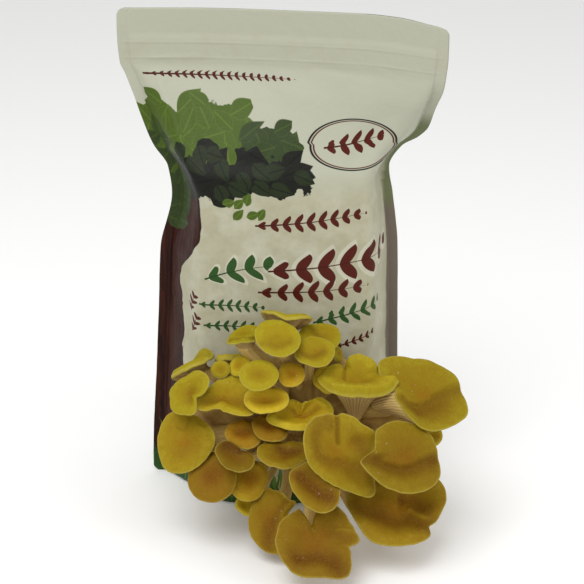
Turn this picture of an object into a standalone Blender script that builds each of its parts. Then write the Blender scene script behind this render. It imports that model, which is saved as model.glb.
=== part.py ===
"""Oyster mushroom grow bag: a stand-up pouch of printed film round a block of substrate.

Yellow oyster mushrooms grow from one fused base of stems, through a slit in the pouch's front.
Everything is designed in millimetres and built in metres. X is to the right, Y to the back and
Z up. The origin is the middle of the pouch's flat base.
"""

import math
from dataclasses import dataclass

import bmesh
import bpy
from mathutils import Vector

MM = 0.001

# Driving dimensions of the pouch, in millimetres
FILM_WALL = 0.7
CLEARANCE = 0.5
SIDE_SEAL_WIDTH = 6.0
SIDE_SEAL_HALF_THICKNESS = 0.45
SEAL_ROOT_HALF_THICKNESS = 0.75
CAVITY_FROM_SEAM = 8.0
CAVITY_EDGE_HALF = 0.12
EDGE_ROUND = 9.0
FRONT_BULGE = 2.5
TOP_BAND_FORWARD = 22.0
TOP_BAND_BACK = 6.0
TOP_BAND_BENDS_OVER = (-60.0, 110.0)
TOP_BAND_DROOP = 3.0
TOP_BAND_STARTS_AT = 215.0
TOP_BAND_FLAT_FROM = 268.0
CAVITY_TOP = 283.0

# Driving dimensions of the substrate block and of the zip between the two films
BLOCK_TOP = 203.0
ZIP_BOTTOM = 268.5
ZIP_TOP = 279.5
ZIP_HALF_THICKNESS = 0.45
ZIP_END_FROM_SEAM = 8.8
ZIP_END_HALF = 0.1

# Driving dimensions of the slit and of the fused stems that come out of it
SLIT_CENTRE_X = 18.0
SLIT_CENTRE_Z = 68.0
SLIT_HALF_WIDTH = 15.0
SLIT_HALF_HEIGHT = 21.0
SLIT_SIDES = 10
SLIT_CUT_FROM = -60.0
SLIT_CUT_TO = -20.0
STEM_BASE_RADII = (46.0, 26.0, 33.0)
STEM_BASE_CENTRE = (18.0, -47.0, 68.0)
STEM_BASE_SEGMENTS = 16
STEM_BASE_RINGS = 10
NECK_SHARE_OF_SLIT = 0.9
NECK_STARTS_AT_RING = 8
NECK_LENGTH = 3.0

# The gap between a stem's end and the fused base that it grew from
STEM_GAP = 0.7


@dataclass
class Station:
    """One level of the pouch: where its seams and creases are, and how deep it is."""

    height: float
    left_seam: float
    left_crease: float
    right_crease: float
    right_seam: float
    front: float
    back: float


STATIONS = (
    Station(0.0, -79.5, -35.0, 25.0, 73.0, 44.0, 41.0),
    Station(3.5, -82.5, -36.0, 27.0, 76.0, 46.0, 43.0),
    Station(30.0, -81.5, -39.0, 34.0, 76.0, 44.5, 42.0),
    Station(70.0, -78.5, -45.0, 46.0, 75.0, 41.0, 39.0),
    Station(115.0, -75.5, -48.0, 56.0, 74.0, 38.0, 37.0),
    Station(155.0, -73.0, -48.0, 57.0, 73.0, 36.0, 35.0),
    Station(190.0, -65.0, -46.0, 56.0, 69.0, 35.0, 34.0),
    Station(206.0, -67.0, -50.0, 55.0, 66.5, 33.0, 31.0),
    Station(219.0, -75.0, -57.0, 62.0, 71.0, 26.0, 24.0),
    Station(232.0, -80.5, -63.0, 73.0, 84.0, 18.5, 17.0),
    Station(249.0, -86.5, -71.0, 83.0, 92.5, 9.5, 9.0),
    Station(261.0, -91.0, -79.0, 87.0, 95.5, 3.6, 3.6),
    Station(268.0, -94.0, -86.0, 88.5, 96.5, 1.6, 1.6),
    Station(281.0, -95.0, -86.5, 89.5, 97.5, 1.6, 1.6),
    Station(286.0, -95.0, -86.5, 89.5, 97.5, 0.8, 0.8),
    Station(295.0, -95.0, -86.5, 89.5, 97.5, 0.8, 0.8),
    Station(300.0, -90.0, -82.0, 85.0, 92.5, 0.8, 0.8),
)


@dataclass
class Mushroom:
    """One mushroom: its cap's place, lie and form in millimetres and degrees, and its stem.

    facing is how far the cap's top turns to the right of straight ahead, and tilt how far it
    turns from straight ahead up to the sky. rim and lift are the rim's distance from the cap's
    middle and its height over the plain cap, at even steps round the cap from its right side.
    crease is an angle, a half width and a depth. stem_at is where the stem meets the cap, as an
    angle and a share of the radius, and root moves its foot across and up the fused base.
    """

    name: str
    centre: tuple
    facing: float
    tilt: float
    rim: tuple
    lift: tuple = (0,)
    cup: float = 0.0
    curl: float = 1.0
    dimple: float = 0.8
    crease: tuple = ()
    thickness: float = 2.2
    stem_at: tuple = (90, 0.15)
    stem_radius: float = 3.2
    root: tuple = (0, 0)
    segments: int = 12


MUSHROOMS = (
    Mushroom("top_back", (5, -58, 128), 0, 112, (15, 13, 12, 13, 15.5, 13, 12, 13),
             lift=(1, 1, 0, 2, 4, 3, -1, -1), cup=1, root=(2, 0)),
    Mushroom("top_front", (0, -82, 129), 0, 58, (13.5, 12.5, 13, 14, 13, 11.5, 12.5, 13.5),
             cup=-0.5),
    Mushroom("top_left", (-20, -72, 127), -12, 72, (10, 10.5, 8, 7, 10, 10, 6, 7),
             lift=(0, 1, 1, 0, -3, -1, 0, 0), curl=1.5),
    Mushroom("top_right_back", (25, -62, 120), 15, 62,
             (12.5, 12, 11.5, 12.5, 12.5, 12.5, 11, 10.5)),
    Mushroom("top_right", (21, -82, 120), 5, 60, (12.5, 11.5, 11, 11.5, 12, 10.5, 10.5, 11.5),
             stem_at=(120, 0.3), root=(-2, 0)),
    Mushroom("top_right_small", (36, -62, 109), 60, 20, (4.5, 5, 4.5, 4.5, 5, 4.5), thickness=1.6,
             stem_radius=1.8, segments=8),
    Mushroom("left_back", (-49, -60, 102), -127, 62, (13, 12, 13, 14, 15, 14, 13, 12),
             lift=(0, 0, 0, 2, 5, 2, 0, 0), cup=1, root=(2, -4)),
    Mushroom("left_back_edge", (-30, -56, 106), 0, 112, (9, 7, 6, 7, 8, 7, 6, 7),
             lift=(2, 1, 0, 0, 0, 0, 0, 0), stem_radius=2.4, segments=8),
    Mushroom("left_bud", (-34, -73, 104.5), -15, 40, (6, 5.5, 5.5, 6, 5.5, 5.5), thickness=1.8,
             stem_radius=2, root=(-2, 0), segments=8),
    Mushroom("left_bud_upper", (-23, -72, 106), -10, 45, (6, 7.5, 6, 6, 6.5, 6), thickness=1.8,
             stem_radius=2.2, segments=8),
    Mushroom("middle_top", (-11, -94, 111), 0, 55, (11.5, 11.5, 10.5, 11, 11.5, 10.5, 10.5, 11),
             cup=-0.5, stem_at=(90, 0.45)),
    Mushroom("middle_orange", (8, -82, 106), 5, 50, (7.5, 8, 8, 8, 8, 8.5, 8, 8), cup=-0.5,
             stem_radius=2.6, root=(2, 0), segments=8),
    Mushroom("left_upper", (-52, -85, 94.5), -30, 40,
             (10, 14.5, 15, 14, 11.5, 11.5, 13, 13.5, 14.5, 13.5, 12.5, 10),
             lift=(3, 3, 1, 0, 0, 0, 0, 0, 0, 0, 1, 2), stem_at=(240, 0.05), root=(-26, -4)),
    Mushroom("middle_left", (-31, -82, 92), -5, 62,
             (18, 16, 13.5, 11.5, 11, 11, 12, 18.5, 12.5, 12.5, 16.5, 20.5),
             lift=(0, 1, 3, 4, 3, 1, 2, 2, 0, -1, 1, 1), cup=1, curl=1.5, stem_at=(210, 0.45),
             root=(-2, 14)),
    Mushroom("middle", (-7, -90, 93), 0, 62, (13, 12, 8.5, 12, 13, 10.5, 9.5, 10.5), cup=0.5,
             curl=1.5, stem_at=(120, 0.5), root=(-8, 0)),
    Mushroom("behind_funnel", (28, -74, 97.5), -20, 50, (8, 9, 10.5, 9, 6.5, 8.5),
             stem_at=(90, 0.25), stem_radius=2.4, root=(2, 0), segments=8),
    Mushroom("funnel", (45, -84, 105), 0, 80,
             (12.5, 7.5, 8, 9, 10.5, 14, 21.5, 24.5, 22.5, 22, 24.5, 25),
             lift=(3, 7, 11, 10, 5, 6, 3, 1, 0, 0, 0, 2), cup=12, curl=11, dimple=4, stem_radius=5,
             root=(-8, -6), segments=18),
    Mushroom("far_right", (83, -84, 93.5), 15, 52,
             (25, 25, 23, 23, 30, 26.5, 18.5, 18.5, 21.5, 25, 25.5, 27.5),
             lift=(0, 0, 0, 0, 0, 1, 3, 5, 3, 1, 0, 0), cup=3, curl=2, thickness=3,
             stem_at=(190, 0.35), stem_radius=8, root=(6, 6), segments=18),
    Mushroom("folded", (12, -84, 80), 0, 70,
             (19.5, 15.5, 10, 6.5, 8.5, 13, 18.5, 17.5, 15, 14, 16, 19),
             lift=(1, 3, 5, 2, 5, 3, 1, 0, 0, 0, 0, 0), cup=5, curl=4, stem_radius=4),
    Mushroom("left_large", (-54, -88, 65), -15, 38,
             (17, 17, 16, 16.5, 19.5, 19.5, 18, 17.5, 20, 19, 16.5, 16),
             lift=(0, 0, 0, -1, 0, 0, 0, 0, 0, 0, 0, 0), cup=-1, curl=1.5, thickness=2.8,
             stem_at=(45, 0.3), stem_radius=4.5, root=(-2, -2), segments=16),
    Mushroom("inner_left", (-21, -89, 71), 0, 60, (11, 10.5, 10.5, 11, 10.5, 9, 10, 11.5), cup=-0.5,
             root=(-4, 4)),
    Mushroom("inner", (-5, -90, 75), 0, 60, (10.5, 9.5, 9.5, 11, 10.5, 9.5, 9, 10.5), cup=-0.5,
             stem_at=(120, 0.15), root=(-2, 4)),
    Mushroom("lower_slanted", (-25, -104, 62.5), -5, 58, (11.5, 8, 9, 13, 10.5, 8, 8.5, 12), cup=1,
             curl=1.5, stem_at=(90, 0.05)),
    Mushroom("lower_middle", (2, -104, 64), 0, 70, (15.5, 13, 11, 13, 15, 10.5, 10, 11.5), cup=1,
             curl=1.5, root=(-2, 2)),
    Mushroom("front_large", (35, -114, 69.5), 10, 33,
             (20, 23, 23.5, 23.5, 23.5, 25.5, 25, 22.5, 19, 16.5, 15.5, 15.5, 18.5, 24.5, 27.5, 22),
             lift=(1, 1, 2, 3, 0, 1, 3, 2, 1, 0, 0, 0, 0, -1, -3, -1), cup=4, curl=2.5,
             crease=(98, 12, 4), thickness=3, stem_at=(90, 0.3), stem_radius=6, root=(4, 2),
             segments=20),
    Mushroom("right_large", (69, -117, 70), 20, 42,
             (24, 24.5, 24.5, 22.5, 21.5, 21, 19.5, 19, 27, 22, 21, 21, 22, 23.5, 25, 24.5),
             lift=(0, -1, -1, -1, -1, -1, 0, 3, 7, 6, 4, 4, 4, 3, 2, 1), cup=2, curl=2, thickness=3,
             stem_at=(30, 0.3), stem_radius=6, root=(6, -2), segments=18),
    Mushroom("lower_right", (68, -112, 32), 5, 58,
             (27.5, 31.5, 28.5, 24.5, 23, 25, 27.5, 29.5, 27.5, 25.5, 24, 23, 23, 23.5, 23, 21),
             lift=(4, 3, 2, 1, 0, 0, 1, 2, 2, 2, 1, 1, 2, 1, -1, -2), cup=3, curl=3, thickness=3,
             stem_at=(140, 0.4), stem_radius=6, root=(-2, 0), segments=18),
    Mushroom("right_hidden", (89, -87, 69), 20, 45, (7.5, 7.5, 7, 7.5, 7.5, 7), thickness=1.8,
             stem_at=(30, 0.15), stem_radius=2.4, segments=8),
    Mushroom("lower_left", (-39, -99, 48.5), -12, 42, (14.5, 14.5, 15, 14.5, 14, 15, 15, 15.5),
             cup=-1, curl=1.5),
    Mushroom("lower_inner", (-17, -96, 44), 0, 42, (11, 12.5, 12.5, 11.5, 11.5, 12.5, 12.5, 11),
             cup=-1, curl=1.5, stem_at=(150, 0.25), root=(8, 4)),
    Mushroom("lower_small", (-20, -89.5, 24), -5, 50, (6.5, 7, 7, 6, 5, 7), cup=-0.5, thickness=1.8,
             stem_at=(240, 0.05), stem_radius=2.2, segments=8),
    Mushroom("bottom_left", (-6, -108, 25), -15, 38,
             (12, 12, 16, 19, 16, 13.5, 12.5, 13, 14, 16.5, 19, 14),
             lift=(-2, 0, 1, 2, 0, 0, 0, 0, 0, 0, 0, -1), curl=2, stem_at=(60, 0.5), stem_radius=4,
             root=(-8, -16), segments=14),
    Mushroom("front_low", (21, -123, 54.5), 0, 48,
             (14, 12.5, 12.5, 14, 17.5, 16.5, 13, 11.5, 11.5, 14, 17, 16),
             lift=(0, 0, 0, 1, 2, 3, 3, 3, 2, 1, 0, 0), cup=2, curl=2, stem_at=(260, 0.05),
             stem_radius=3.6, root=(-4, 4), segments=14),
    Mushroom("bottom_front", (21, -135.5, 25.5), 0, 55,
             (21.5, 22, 24, 23, 21, 22, 22.5, 22.5, 23, 22.5, 21.5, 22, 21.5, 24.5, 26, 22),
             lift=(0, 1, 1, 2, 0, 1, 2, 1, 0, 0, 0, 0, 0, 1, 1, 0), cup=4, curl=3,
             crease=(97, 10, 3), thickness=3, stem_at=(97, 0.3), stem_radius=5.5, root=(0, -10),
             segments=20),
)

# Shares of a cap's radius at which its rings lie, from its middle to its rim and back under it
CAP_TOP_RINGS = (0.4, 0.78, 1.0)
CAP_UNDER_RINGS = (0.93, 0.5)
STEM_RINGS = (0.0, 0.4, 0.75, 1.0)
DIMPLE_SPREAD = 0.35
CURL_STARTS_AT = 0.62
RIM_SHARE_OF_THICKNESS = 0.45
GILL_FLARE = 4.0
PULL_TO_STEM = 0.25
LEAST_FOOT_FORWARD = -3.0
STEM_BEND_AT_CAP = 0.22
STEM_BEND_AT_FOOT = 0.4
STEM_END_FLARE = 1.2
STEM_WAIST = 0.3


def material(name, colour, roughness):
    """A plain finish with one colour."""
    made = bpy.data.materials.new(name)
    made.use_nodes = True
    shader = made.node_tree.nodes["Principled BSDF"]
    shader.inputs["Base Color"].default_value = (*colour, 1.0)
    shader.inputs["Roughness"].default_value = roughness
    return made


def object_from(name, mesh, collection, finish=None):
    """Turns a bmesh in millimetres into an object in metres."""
    bmesh.ops.scale(mesh, vec=(MM, MM, MM), verts=mesh.verts)
    bmesh.ops.recalc_face_normals(mesh, faces=mesh.faces)
    data = bpy.data.meshes.new(name)
    mesh.to_mesh(data)
    mesh.free()
    made = bpy.data.objects.new(name, data)
    collection.objects.link(made)
    if finish:
        data.materials.append(finish)
        data.shade_smooth()
        data.set_sharp_from_angle(angle=math.radians(50))
    return made


def smooth_step(low, high, value):
    """0 below low, 1 above high, and an S curve between them."""
    share = min(1.0, max(0.0, (value - low) / (high - low)))
    return share * share * (3.0 - 2.0 * share)


def station_at(height):
    """The pouch's station at a height, read between the two nearest ones."""
    for below, above in zip(STATIONS, STATIONS[1:]):
        if height <= above.height:
            share = (height - below.height) / (above.height - below.height)
            fields = zip(vars(below).values(), vars(above).values())
            return Station(*(a + (b - a) * share for a, b in fields))
    return STATIONS[-1]


def rounded_corner(before, corner, after, reach):
    """Three points that round a corner, reach millimetres to each side of it."""
    back = (before - corner).normalized() * min(reach, (before - corner).length * 0.45)
    ahead = (after - corner).normalized() * min(reach, (after - corner).length * 0.45)
    middle = corner + (back + ahead) * 0.25
    return [corner + back, middle, corner + ahead]


def front_outline(station, depth, seam_inset, root_half):
    """Half a cross-section from the left seam to the right one, as (x, outward depth)."""
    left_root = Vector((station.left_seam + seam_inset, root_half))
    right_root = Vector((station.right_seam - seam_inset, root_half))
    left_crease = Vector((max(station.left_crease, left_root.x + 2.0), depth))
    right_crease = Vector((min(station.right_crease, right_root.x - 2.0), depth))
    points = [left_root]
    points += rounded_corner(left_root, left_crease, right_crease, EDGE_ROUND)
    bulge = FRONT_BULGE * smooth_step(2.0, 25.0, depth)
    for share in (0.25, 0.5, 0.75):
        swell = bulge * math.sin(math.pi * share)
        points.append(left_crease.lerp(right_crease, share) + Vector((0.0, swell)))
    points += rounded_corner(left_crease, right_crease, right_root, EDGE_ROUND)
    points.append(right_root)
    return points


def lay_of_top(x, y, z):
    """Bends the flat top: its left end leans back, and its right end curves forward and droops."""
    weight = smooth_step(TOP_BAND_STARTS_AT, TOP_BAND_FLAT_FROM, z)
    right = smooth_step(*TOP_BAND_BENDS_OVER, x)
    lean = TOP_BAND_BACK * (1.0 - right) - TOP_BAND_FORWARD * right
    return Vector((x, y + lean * weight, z - TOP_BAND_DROOP * right * weight))


def pouch_section(height, inset, with_seals):
    """The pouch's closed outline at a height, inset by a wall."""
    station = station_at(height)
    if with_seals:
        front = front_outline(station, station.front, SIDE_SEAL_WIDTH, SEAL_ROOT_HALF_THICKNESS)
        back = front_outline(station, station.back, SIDE_SEAL_WIDTH, SEAL_ROOT_HALF_THICKNESS)
        left_tip = Vector((station.left_seam, SIDE_SEAL_HALF_THICKNESS))
        right_tip = Vector((station.right_seam, SIDE_SEAL_HALF_THICKNESS))
        front = [left_tip, *front, right_tip]
        back = [left_tip, *back, right_tip]
    else:
        seam = CAVITY_FROM_SEAM + 2.0 * (inset - FILM_WALL)
        front = front_outline(station, station.front - inset, seam, CAVITY_EDGE_HALF)
        back = front_outline(station, station.back - inset, seam, CAVITY_EDGE_HALF)
    outline = [lay_of_top(p.x, -p.y, height) for p in front]
    outline += [lay_of_top(p.x, p.y, height) for p in reversed(back)]
    return outline


def loft(sections):
    """A closed solid through sections that have equally many points."""
    mesh = bmesh.new()
    rings = [[mesh.verts.new(point) for point in section] for section in sections]
    for lower, upper in zip(rings, rings[1:]):
        count = len(lower)
        for i in range(count):
            j = (i + 1) % count
            mesh.faces.new((lower[i], lower[j], upper[j]))
            mesh.faces.new((lower[i], upper[j], upper[i]))
    mesh.faces.new(list(reversed(rings[0])))
    mesh.faces.new(rings[-1])
    return mesh


def heights_between(low, high):
    """The stations' heights that lie between two heights, with both ends."""
    inner = [s.height for s in STATIONS if low + 1.0 < s.height < high - 1.0]
    return [low, *inner, high]


def slit_cutter(collection):
    """A lens-shaped prism that opens the slit through the pouch's front film."""
    mesh = bmesh.new()
    outline = []
    for i in range(SLIT_SIDES):
        angle = 2.0 * math.pi * i / SLIT_SIDES + math.pi / 2.0
        x = SLIT_CENTRE_X + SLIT_HALF_WIDTH * math.cos(angle)
        z = SLIT_CENTRE_Z + SLIT_HALF_HEIGHT * math.sin(angle)
        outline.append((x, z))
    near = [mesh.verts.new((x, SLIT_CUT_FROM, z)) for x, z in outline]
    far = [mesh.verts.new((x, SLIT_CUT_TO, z)) for x, z in outline]
    for i in range(SLIT_SIDES):
        j = (i + 1) % SLIT_SIDES
        mesh.faces.new((near[i], near[j], far[j], far[i]))
    mesh.faces.new(near)
    mesh.faces.new(far)
    cutter = object_from("slit_cutter", mesh, collection)
    cutter.hide_render = True
    cutter.display_type = "WIRE"
    return cutter


def cut(target, cutter):
    """Takes a cutter away from an object."""
    modifier = target.modifiers.new("cut " + cutter.name, "BOOLEAN")
    modifier.operation = "DIFFERENCE"
    modifier.object = cutter


def pouch(parts, cutters):
    """The film pouch: front, back and gusset heat-sealed into one hollow piece."""
    film = material("pouch_film", (0.62, 0.62, 0.52), 0.42)
    outer = loft([pouch_section(s.height, 0.0, True) for s in STATIONS])
    made = object_from("pouch", outer, parts, film)
    heights = heights_between(FILM_WALL, CAVITY_TOP)
    inner = loft([pouch_section(height, FILM_WALL, False) for height in heights])
    cavity = object_from("cavity_cutter", inner, cutters)
    cavity.hide_render = True
    cavity.display_type = "WIRE"
    cut(made, cavity)
    cut(made, slit_cutter(cutters))
    return made


def substrate_block(parts):
    """The block of straw and sawdust that fills the pouch up to its shoulder."""
    straw = material("substrate", (0.66, 0.58, 0.42), 0.9)
    inset = FILM_WALL + CLEARANCE
    heights = heights_between(inset, BLOCK_TOP)
    block = loft([pouch_section(height, inset, False) for height in heights])
    return object_from("substrate_block", block, parts, straw)


def zip_strip(parts):
    """The press-to-close zip between the two films, below the top seal."""
    plastic = material("zip_plastic", (0.8, 0.8, 0.76), 0.4)
    sections = []
    for height in (ZIP_BOTTOM, ZIP_TOP):
        half = front_outline(station_at(height), ZIP_HALF_THICKNESS, ZIP_END_FROM_SEAM, ZIP_END_HALF)
        ring = [lay_of_top(p.x, -p.y, height) for p in half]
        ring += [lay_of_top(p.x, p.y, height) for p in reversed(half)]
        sections.append(ring)
    return object_from("zip_strip", loft(sections), parts, plastic)


def block_face_at(x, z):
    """Y of the substrate block's front face, read on its cross-section at a height."""
    section = pouch_section(z, FILM_WALL + CLEARANCE, False)
    front = section[: len(section) // 2]
    for left, right in zip(front, front[1:]):
        if left.x <= x <= right.x:
            return left.lerp(right, (x - left.x) / (right.x - left.x)).y
    return front[0].y


def stem_base_point(ring, angle):
    """A point of the fused base: ring 0 is its front pole, the last its back one."""
    across, up = math.cos(angle), math.sin(angle)
    centre = Vector(STEM_BASE_CENTRE)
    neck_rings = STEM_BASE_RINGS - NECK_STARTS_AT_RING
    if ring >= NECK_STARTS_AT_RING:
        share = NECK_SHARE_OF_SLIT if ring < STEM_BASE_RINGS else 0.0
        x = centre.x + SLIT_HALF_WIDTH * share * across
        z = centre.z + SLIT_HALF_HEIGHT * share * up
        out = NECK_LENGTH if ring < STEM_BASE_RINGS - 1 else 0.0
        return Vector((x, block_face_at(x, z) - CLEARANCE - out, z))
    polar = math.pi * 0.5 * ring / (STEM_BASE_RINGS - neck_rings - 1)
    wide = math.sin(polar)
    return Vector((
        centre.x + STEM_BASE_RADII[0] * wide * across,
        centre.y - STEM_BASE_RADII[1] * math.cos(polar),
        centre.z + STEM_BASE_RADII[2] * wide * up,
    ))


def fused_stem_base(parts):
    """The lump of fused stems: a neck through the slit that swells to a rounded knot."""
    flesh = material("stem_flesh", (0.78, 0.7, 0.52), 0.6)
    mesh = bmesh.new()
    bmesh.ops.create_uvsphere(
        mesh, u_segments=STEM_BASE_SEGMENTS, v_segments=STEM_BASE_RINGS, radius=1.0
    )
    for vert in mesh.verts:
        ring = round(math.acos(max(-1.0, min(1.0, vert.co.z))) / math.pi * STEM_BASE_RINGS)
        vert.co = stem_base_point(ring, math.atan2(vert.co.y, vert.co.x))
    return object_from("fused_stem_base", mesh, parts, flesh)


def cap_frame(shroom):
    """The cap's own axes: across it, up it, and out of its top."""
    facing, tilt = math.radians(shroom.facing), math.radians(shroom.tilt)
    normal = Vector((
        math.sin(facing) * math.cos(tilt), -math.cos(facing) * math.cos(tilt), math.sin(tilt)
    ))
    across = Vector((math.cos(facing), math.sin(facing), 0.0))
    return across, normal.cross(across), normal


def round_the_cap(values, angle):
    """A smooth curve through values at even steps round the cap, read at an angle."""
    count = len(values)
    place = angle / (2.0 * math.pi) * count % count
    index = int(place)
    share = place - index
    a, b, c, d = (values[(index + k) % count] for k in (-1, 0, 1, 2))
    slope = 0.5 * (c - a)
    square = a - 2.5 * b + 2.0 * c - 0.5 * d
    cube = 0.5 * (d - a) + 1.5 * (b - c)
    return b + share * (slope + share * (square + share * cube))


def cap_height(shroom, share, angle):
    """How far the cap's top stands above its middle, at a share of the way to its rim."""
    height = (shroom.cup + round_the_cap(shroom.lift, angle)) * share * share
    height -= shroom.dimple * math.exp(-((share / DIMPLE_SPREAD) ** 2))
    height -= shroom.curl * smooth_step(CURL_STARTS_AT, 1.0, share) ** 2
    if shroom.crease:
        at, half_width, depth = shroom.crease
        off = (math.degrees(angle) - at + 180.0) % 360.0 - 180.0
        height -= depth * smooth_step(0.1, 0.6, share) * math.exp(-((off / half_width) ** 2))
    return height


def cap_point(shroom, frame, share, angle, depth=0.0):
    """A point of the cap, depth millimetres under its top."""
    across, up, normal = frame
    reach = share * round_the_cap(shroom.rim, angle)
    out = across * math.cos(angle) + up * math.sin(angle)
    height = cap_height(shroom, share, angle) - depth
    return Vector(shroom.centre) + out * reach + normal * height


def stem_top(shroom, frame):
    """Where the stem leaves the cap's underside."""
    angle, share = math.radians(shroom.stem_at[0]), shroom.stem_at[1]
    return cap_point(shroom, frame, share, angle, shroom.thickness + GILL_FLARE)


def stem_foot(shroom, top):
    """Where the stem joins the fused base, and the way out of the base there."""
    centre = Vector(STEM_BASE_CENTRE)
    radii = Vector(STEM_BASE_RADII)
    towards = top + Vector((shroom.root[0], 0.0, shroom.root[1])) - centre
    towards.y = min(towards.y, LEAST_FOOT_FORWARD)
    unit = Vector([t / r for t, r in zip(towards, radii)]).normalized()
    outward = Vector([u / r for u, r in zip(unit, radii)]).normalized()
    point = centre + Vector([u * r for u, r in zip(unit, radii)])
    return point + outward * STEM_GAP, outward


def stem_curve(start, leaving, end, arriving, share):
    """A point and its direction on the stem's smooth curve."""
    length = (end - start).length
    near = start + leaving * length * STEM_BEND_AT_CAP
    far = end + arriving * length * STEM_BEND_AT_FOOT
    rest = 1.0 - share
    point = start * rest**3 + near * 3.0 * rest**2 * share
    point += far * 3.0 * rest * share**2 + end * share**3
    slope = (near - start) * rest**2 + (far - near) * 2.0 * rest * share + (end - far) * share**2
    return point, slope.normalized()


def mushroom_point(shroom, frame, ring, angle, top, foot, outward):
    """Where a vertex of the sphere goes, by its ring and its angle."""
    across, _, normal = frame
    if ring == 0:
        return cap_point(shroom, frame, 0.0, angle)
    ring -= 1
    if ring < len(CAP_TOP_RINGS):
        return cap_point(shroom, frame, CAP_TOP_RINGS[ring], angle)
    ring -= len(CAP_TOP_RINGS)
    if ring < len(CAP_UNDER_RINGS):
        share = CAP_UNDER_RINGS[ring]
        rim = shroom.thickness * RIM_SHARE_OF_THICKNESS
        depth = rim + (shroom.thickness - rim) * (1.0 - share)
        depth += GILL_FLARE * (1.0 - share) ** 2
        point = cap_point(shroom, frame, share, angle, depth)
        return point.lerp(top, PULL_TO_STEM * (1.0 - share))
    ring -= len(CAP_UNDER_RINGS)
    if ring >= len(STEM_RINGS):
        return foot
    share = STEM_RINGS[ring]
    point, along = stem_curve(top, -normal, foot, outward, share)
    side = (across - along * across.dot(along)).normalized()
    radius = shroom.stem_radius * (STEM_END_FLARE - STEM_WAIST * math.sin(math.pi * share))
    return point + (side * math.cos(angle) - along.cross(side) * math.sin(angle)) * radius


def mushroom(shroom, parts, flesh):
    """One mushroom, cap and stem in one piece, shaped from a sphere's rings."""
    rings = 1 + len(CAP_TOP_RINGS) + len(CAP_UNDER_RINGS) + len(STEM_RINGS)
    mesh = bmesh.new()
    bmesh.ops.create_uvsphere(mesh, u_segments=shroom.segments, v_segments=rings, radius=1.0)
    frame = cap_frame(shroom)
    top = stem_top(shroom, frame)
    foot, outward = stem_foot(shroom, top)
    for vert in mesh.verts:
        ring = round(math.acos(max(-1.0, min(1.0, vert.co.z))) / math.pi * rings)
        angle = math.atan2(vert.co.y, vert.co.x)
        vert.co = mushroom_point(shroom, frame, ring, angle, top, foot, outward)
    return object_from("mushroom_" + shroom.name, mesh, parts, flesh)


def main():
    """Clears the scene and builds every piece."""
    for old in list(bpy.data.objects):
        bpy.data.objects.remove(old)
    parts = bpy.data.collections.new("oyster mushroom grow bag")
    cutters = bpy.data.collections.new("cutters")
    bpy.context.scene.collection.children.link(parts)
    bpy.context.scene.collection.children.link(cutters)
    pouch(parts, cutters)
    substrate_block(parts)
    zip_strip(parts)
    fused_stem_base(parts)
    flesh = material("mushroom_flesh", (0.62, 0.47, 0.05), 0.5)
    for shroom in MUSHROOMS:
        mushroom(shroom, parts, flesh)


main()
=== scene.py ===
"""Looks of an oyster mushroom grow bag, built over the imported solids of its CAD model.

Sizes are in millimetres until a mesh is written, which is in metres. X is to the right, Y to the
back and Z up, as in the CAD model.
"""

import logging
import math
from collections.abc import Callable, Iterator
from contextlib import contextmanager
from dataclasses import dataclass
from enum import Enum

import bpy
import numpy as np
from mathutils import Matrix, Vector, noise


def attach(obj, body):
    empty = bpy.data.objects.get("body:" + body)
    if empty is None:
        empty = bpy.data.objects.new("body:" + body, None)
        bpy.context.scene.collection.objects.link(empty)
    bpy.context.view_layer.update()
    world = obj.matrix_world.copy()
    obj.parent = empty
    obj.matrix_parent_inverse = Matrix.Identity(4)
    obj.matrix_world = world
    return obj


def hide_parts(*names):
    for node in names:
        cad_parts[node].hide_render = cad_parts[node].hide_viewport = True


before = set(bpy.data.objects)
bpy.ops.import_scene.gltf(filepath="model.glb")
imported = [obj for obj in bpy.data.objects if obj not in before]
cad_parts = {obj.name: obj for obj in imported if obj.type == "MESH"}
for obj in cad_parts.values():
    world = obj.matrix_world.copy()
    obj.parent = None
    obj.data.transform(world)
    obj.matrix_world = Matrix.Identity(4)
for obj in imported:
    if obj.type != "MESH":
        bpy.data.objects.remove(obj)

MM = 0.001
BODY = "root"
LOG = logging.getLogger("grow_bag")

Array = np.ndarray
Colour = tuple[float, float, float]
Socket = bpy.types.NodeSocket
Inputs = dict[int | str, object]


def tint(red: int, green: int, blue: int) -> Colour:
    """Gives the linear colour of a swatch whose channels run from 0 to 255."""
    return tuple(((c / 255 + 0.055) / 1.055) ** 2.4 for c in (red, green, blue))


def smooth_step(low: float, high: float, value: Array) -> Array:
    """Rises from 0 at low to 1 at high along an S curve."""
    share = np.clip((value - low) / (high - low), 0.0, 1.0)
    return share * share * (3.0 - 2.0 * share)


def hump(value: Array, centre: float, half_width: float) -> Array:
    """Is 1 at centre and falls away on both sides."""
    return np.exp(-(((value - centre) / half_width) ** 2))


def soft_noise(points: Array, grain: float, seed: float = 0.0) -> Array:
    """Reads smooth noise at points.

    Args:
        points: Places in millimetres, one to a row.
        grain: Size of the noise's lumps in millimetres.
        seed: Moves the noise, so that two readings differ.

    Returns:
        One value from about -1 to 1 for each point.
    """
    scaled = points / grain + seed * 17.3
    return np.array([noise.noise(p) for p in scaled.reshape(-1, 3).tolist()]).reshape(
        points.shape[:-1]
    )


def noise_layers(points: Array, layers: tuple[tuple[float, float, float], ...]) -> Array:
    """Adds up layers of smooth noise, each given by its height, its grain and its seed."""
    return sum(height * soft_noise(points, grain, seed) for height, grain, seed in layers)


def unit(ways: Array) -> Array:
    """Gives directions the length 1."""
    return ways / np.maximum(np.linalg.norm(ways, axis=-1, keepdims=True), 1e-9)


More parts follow.
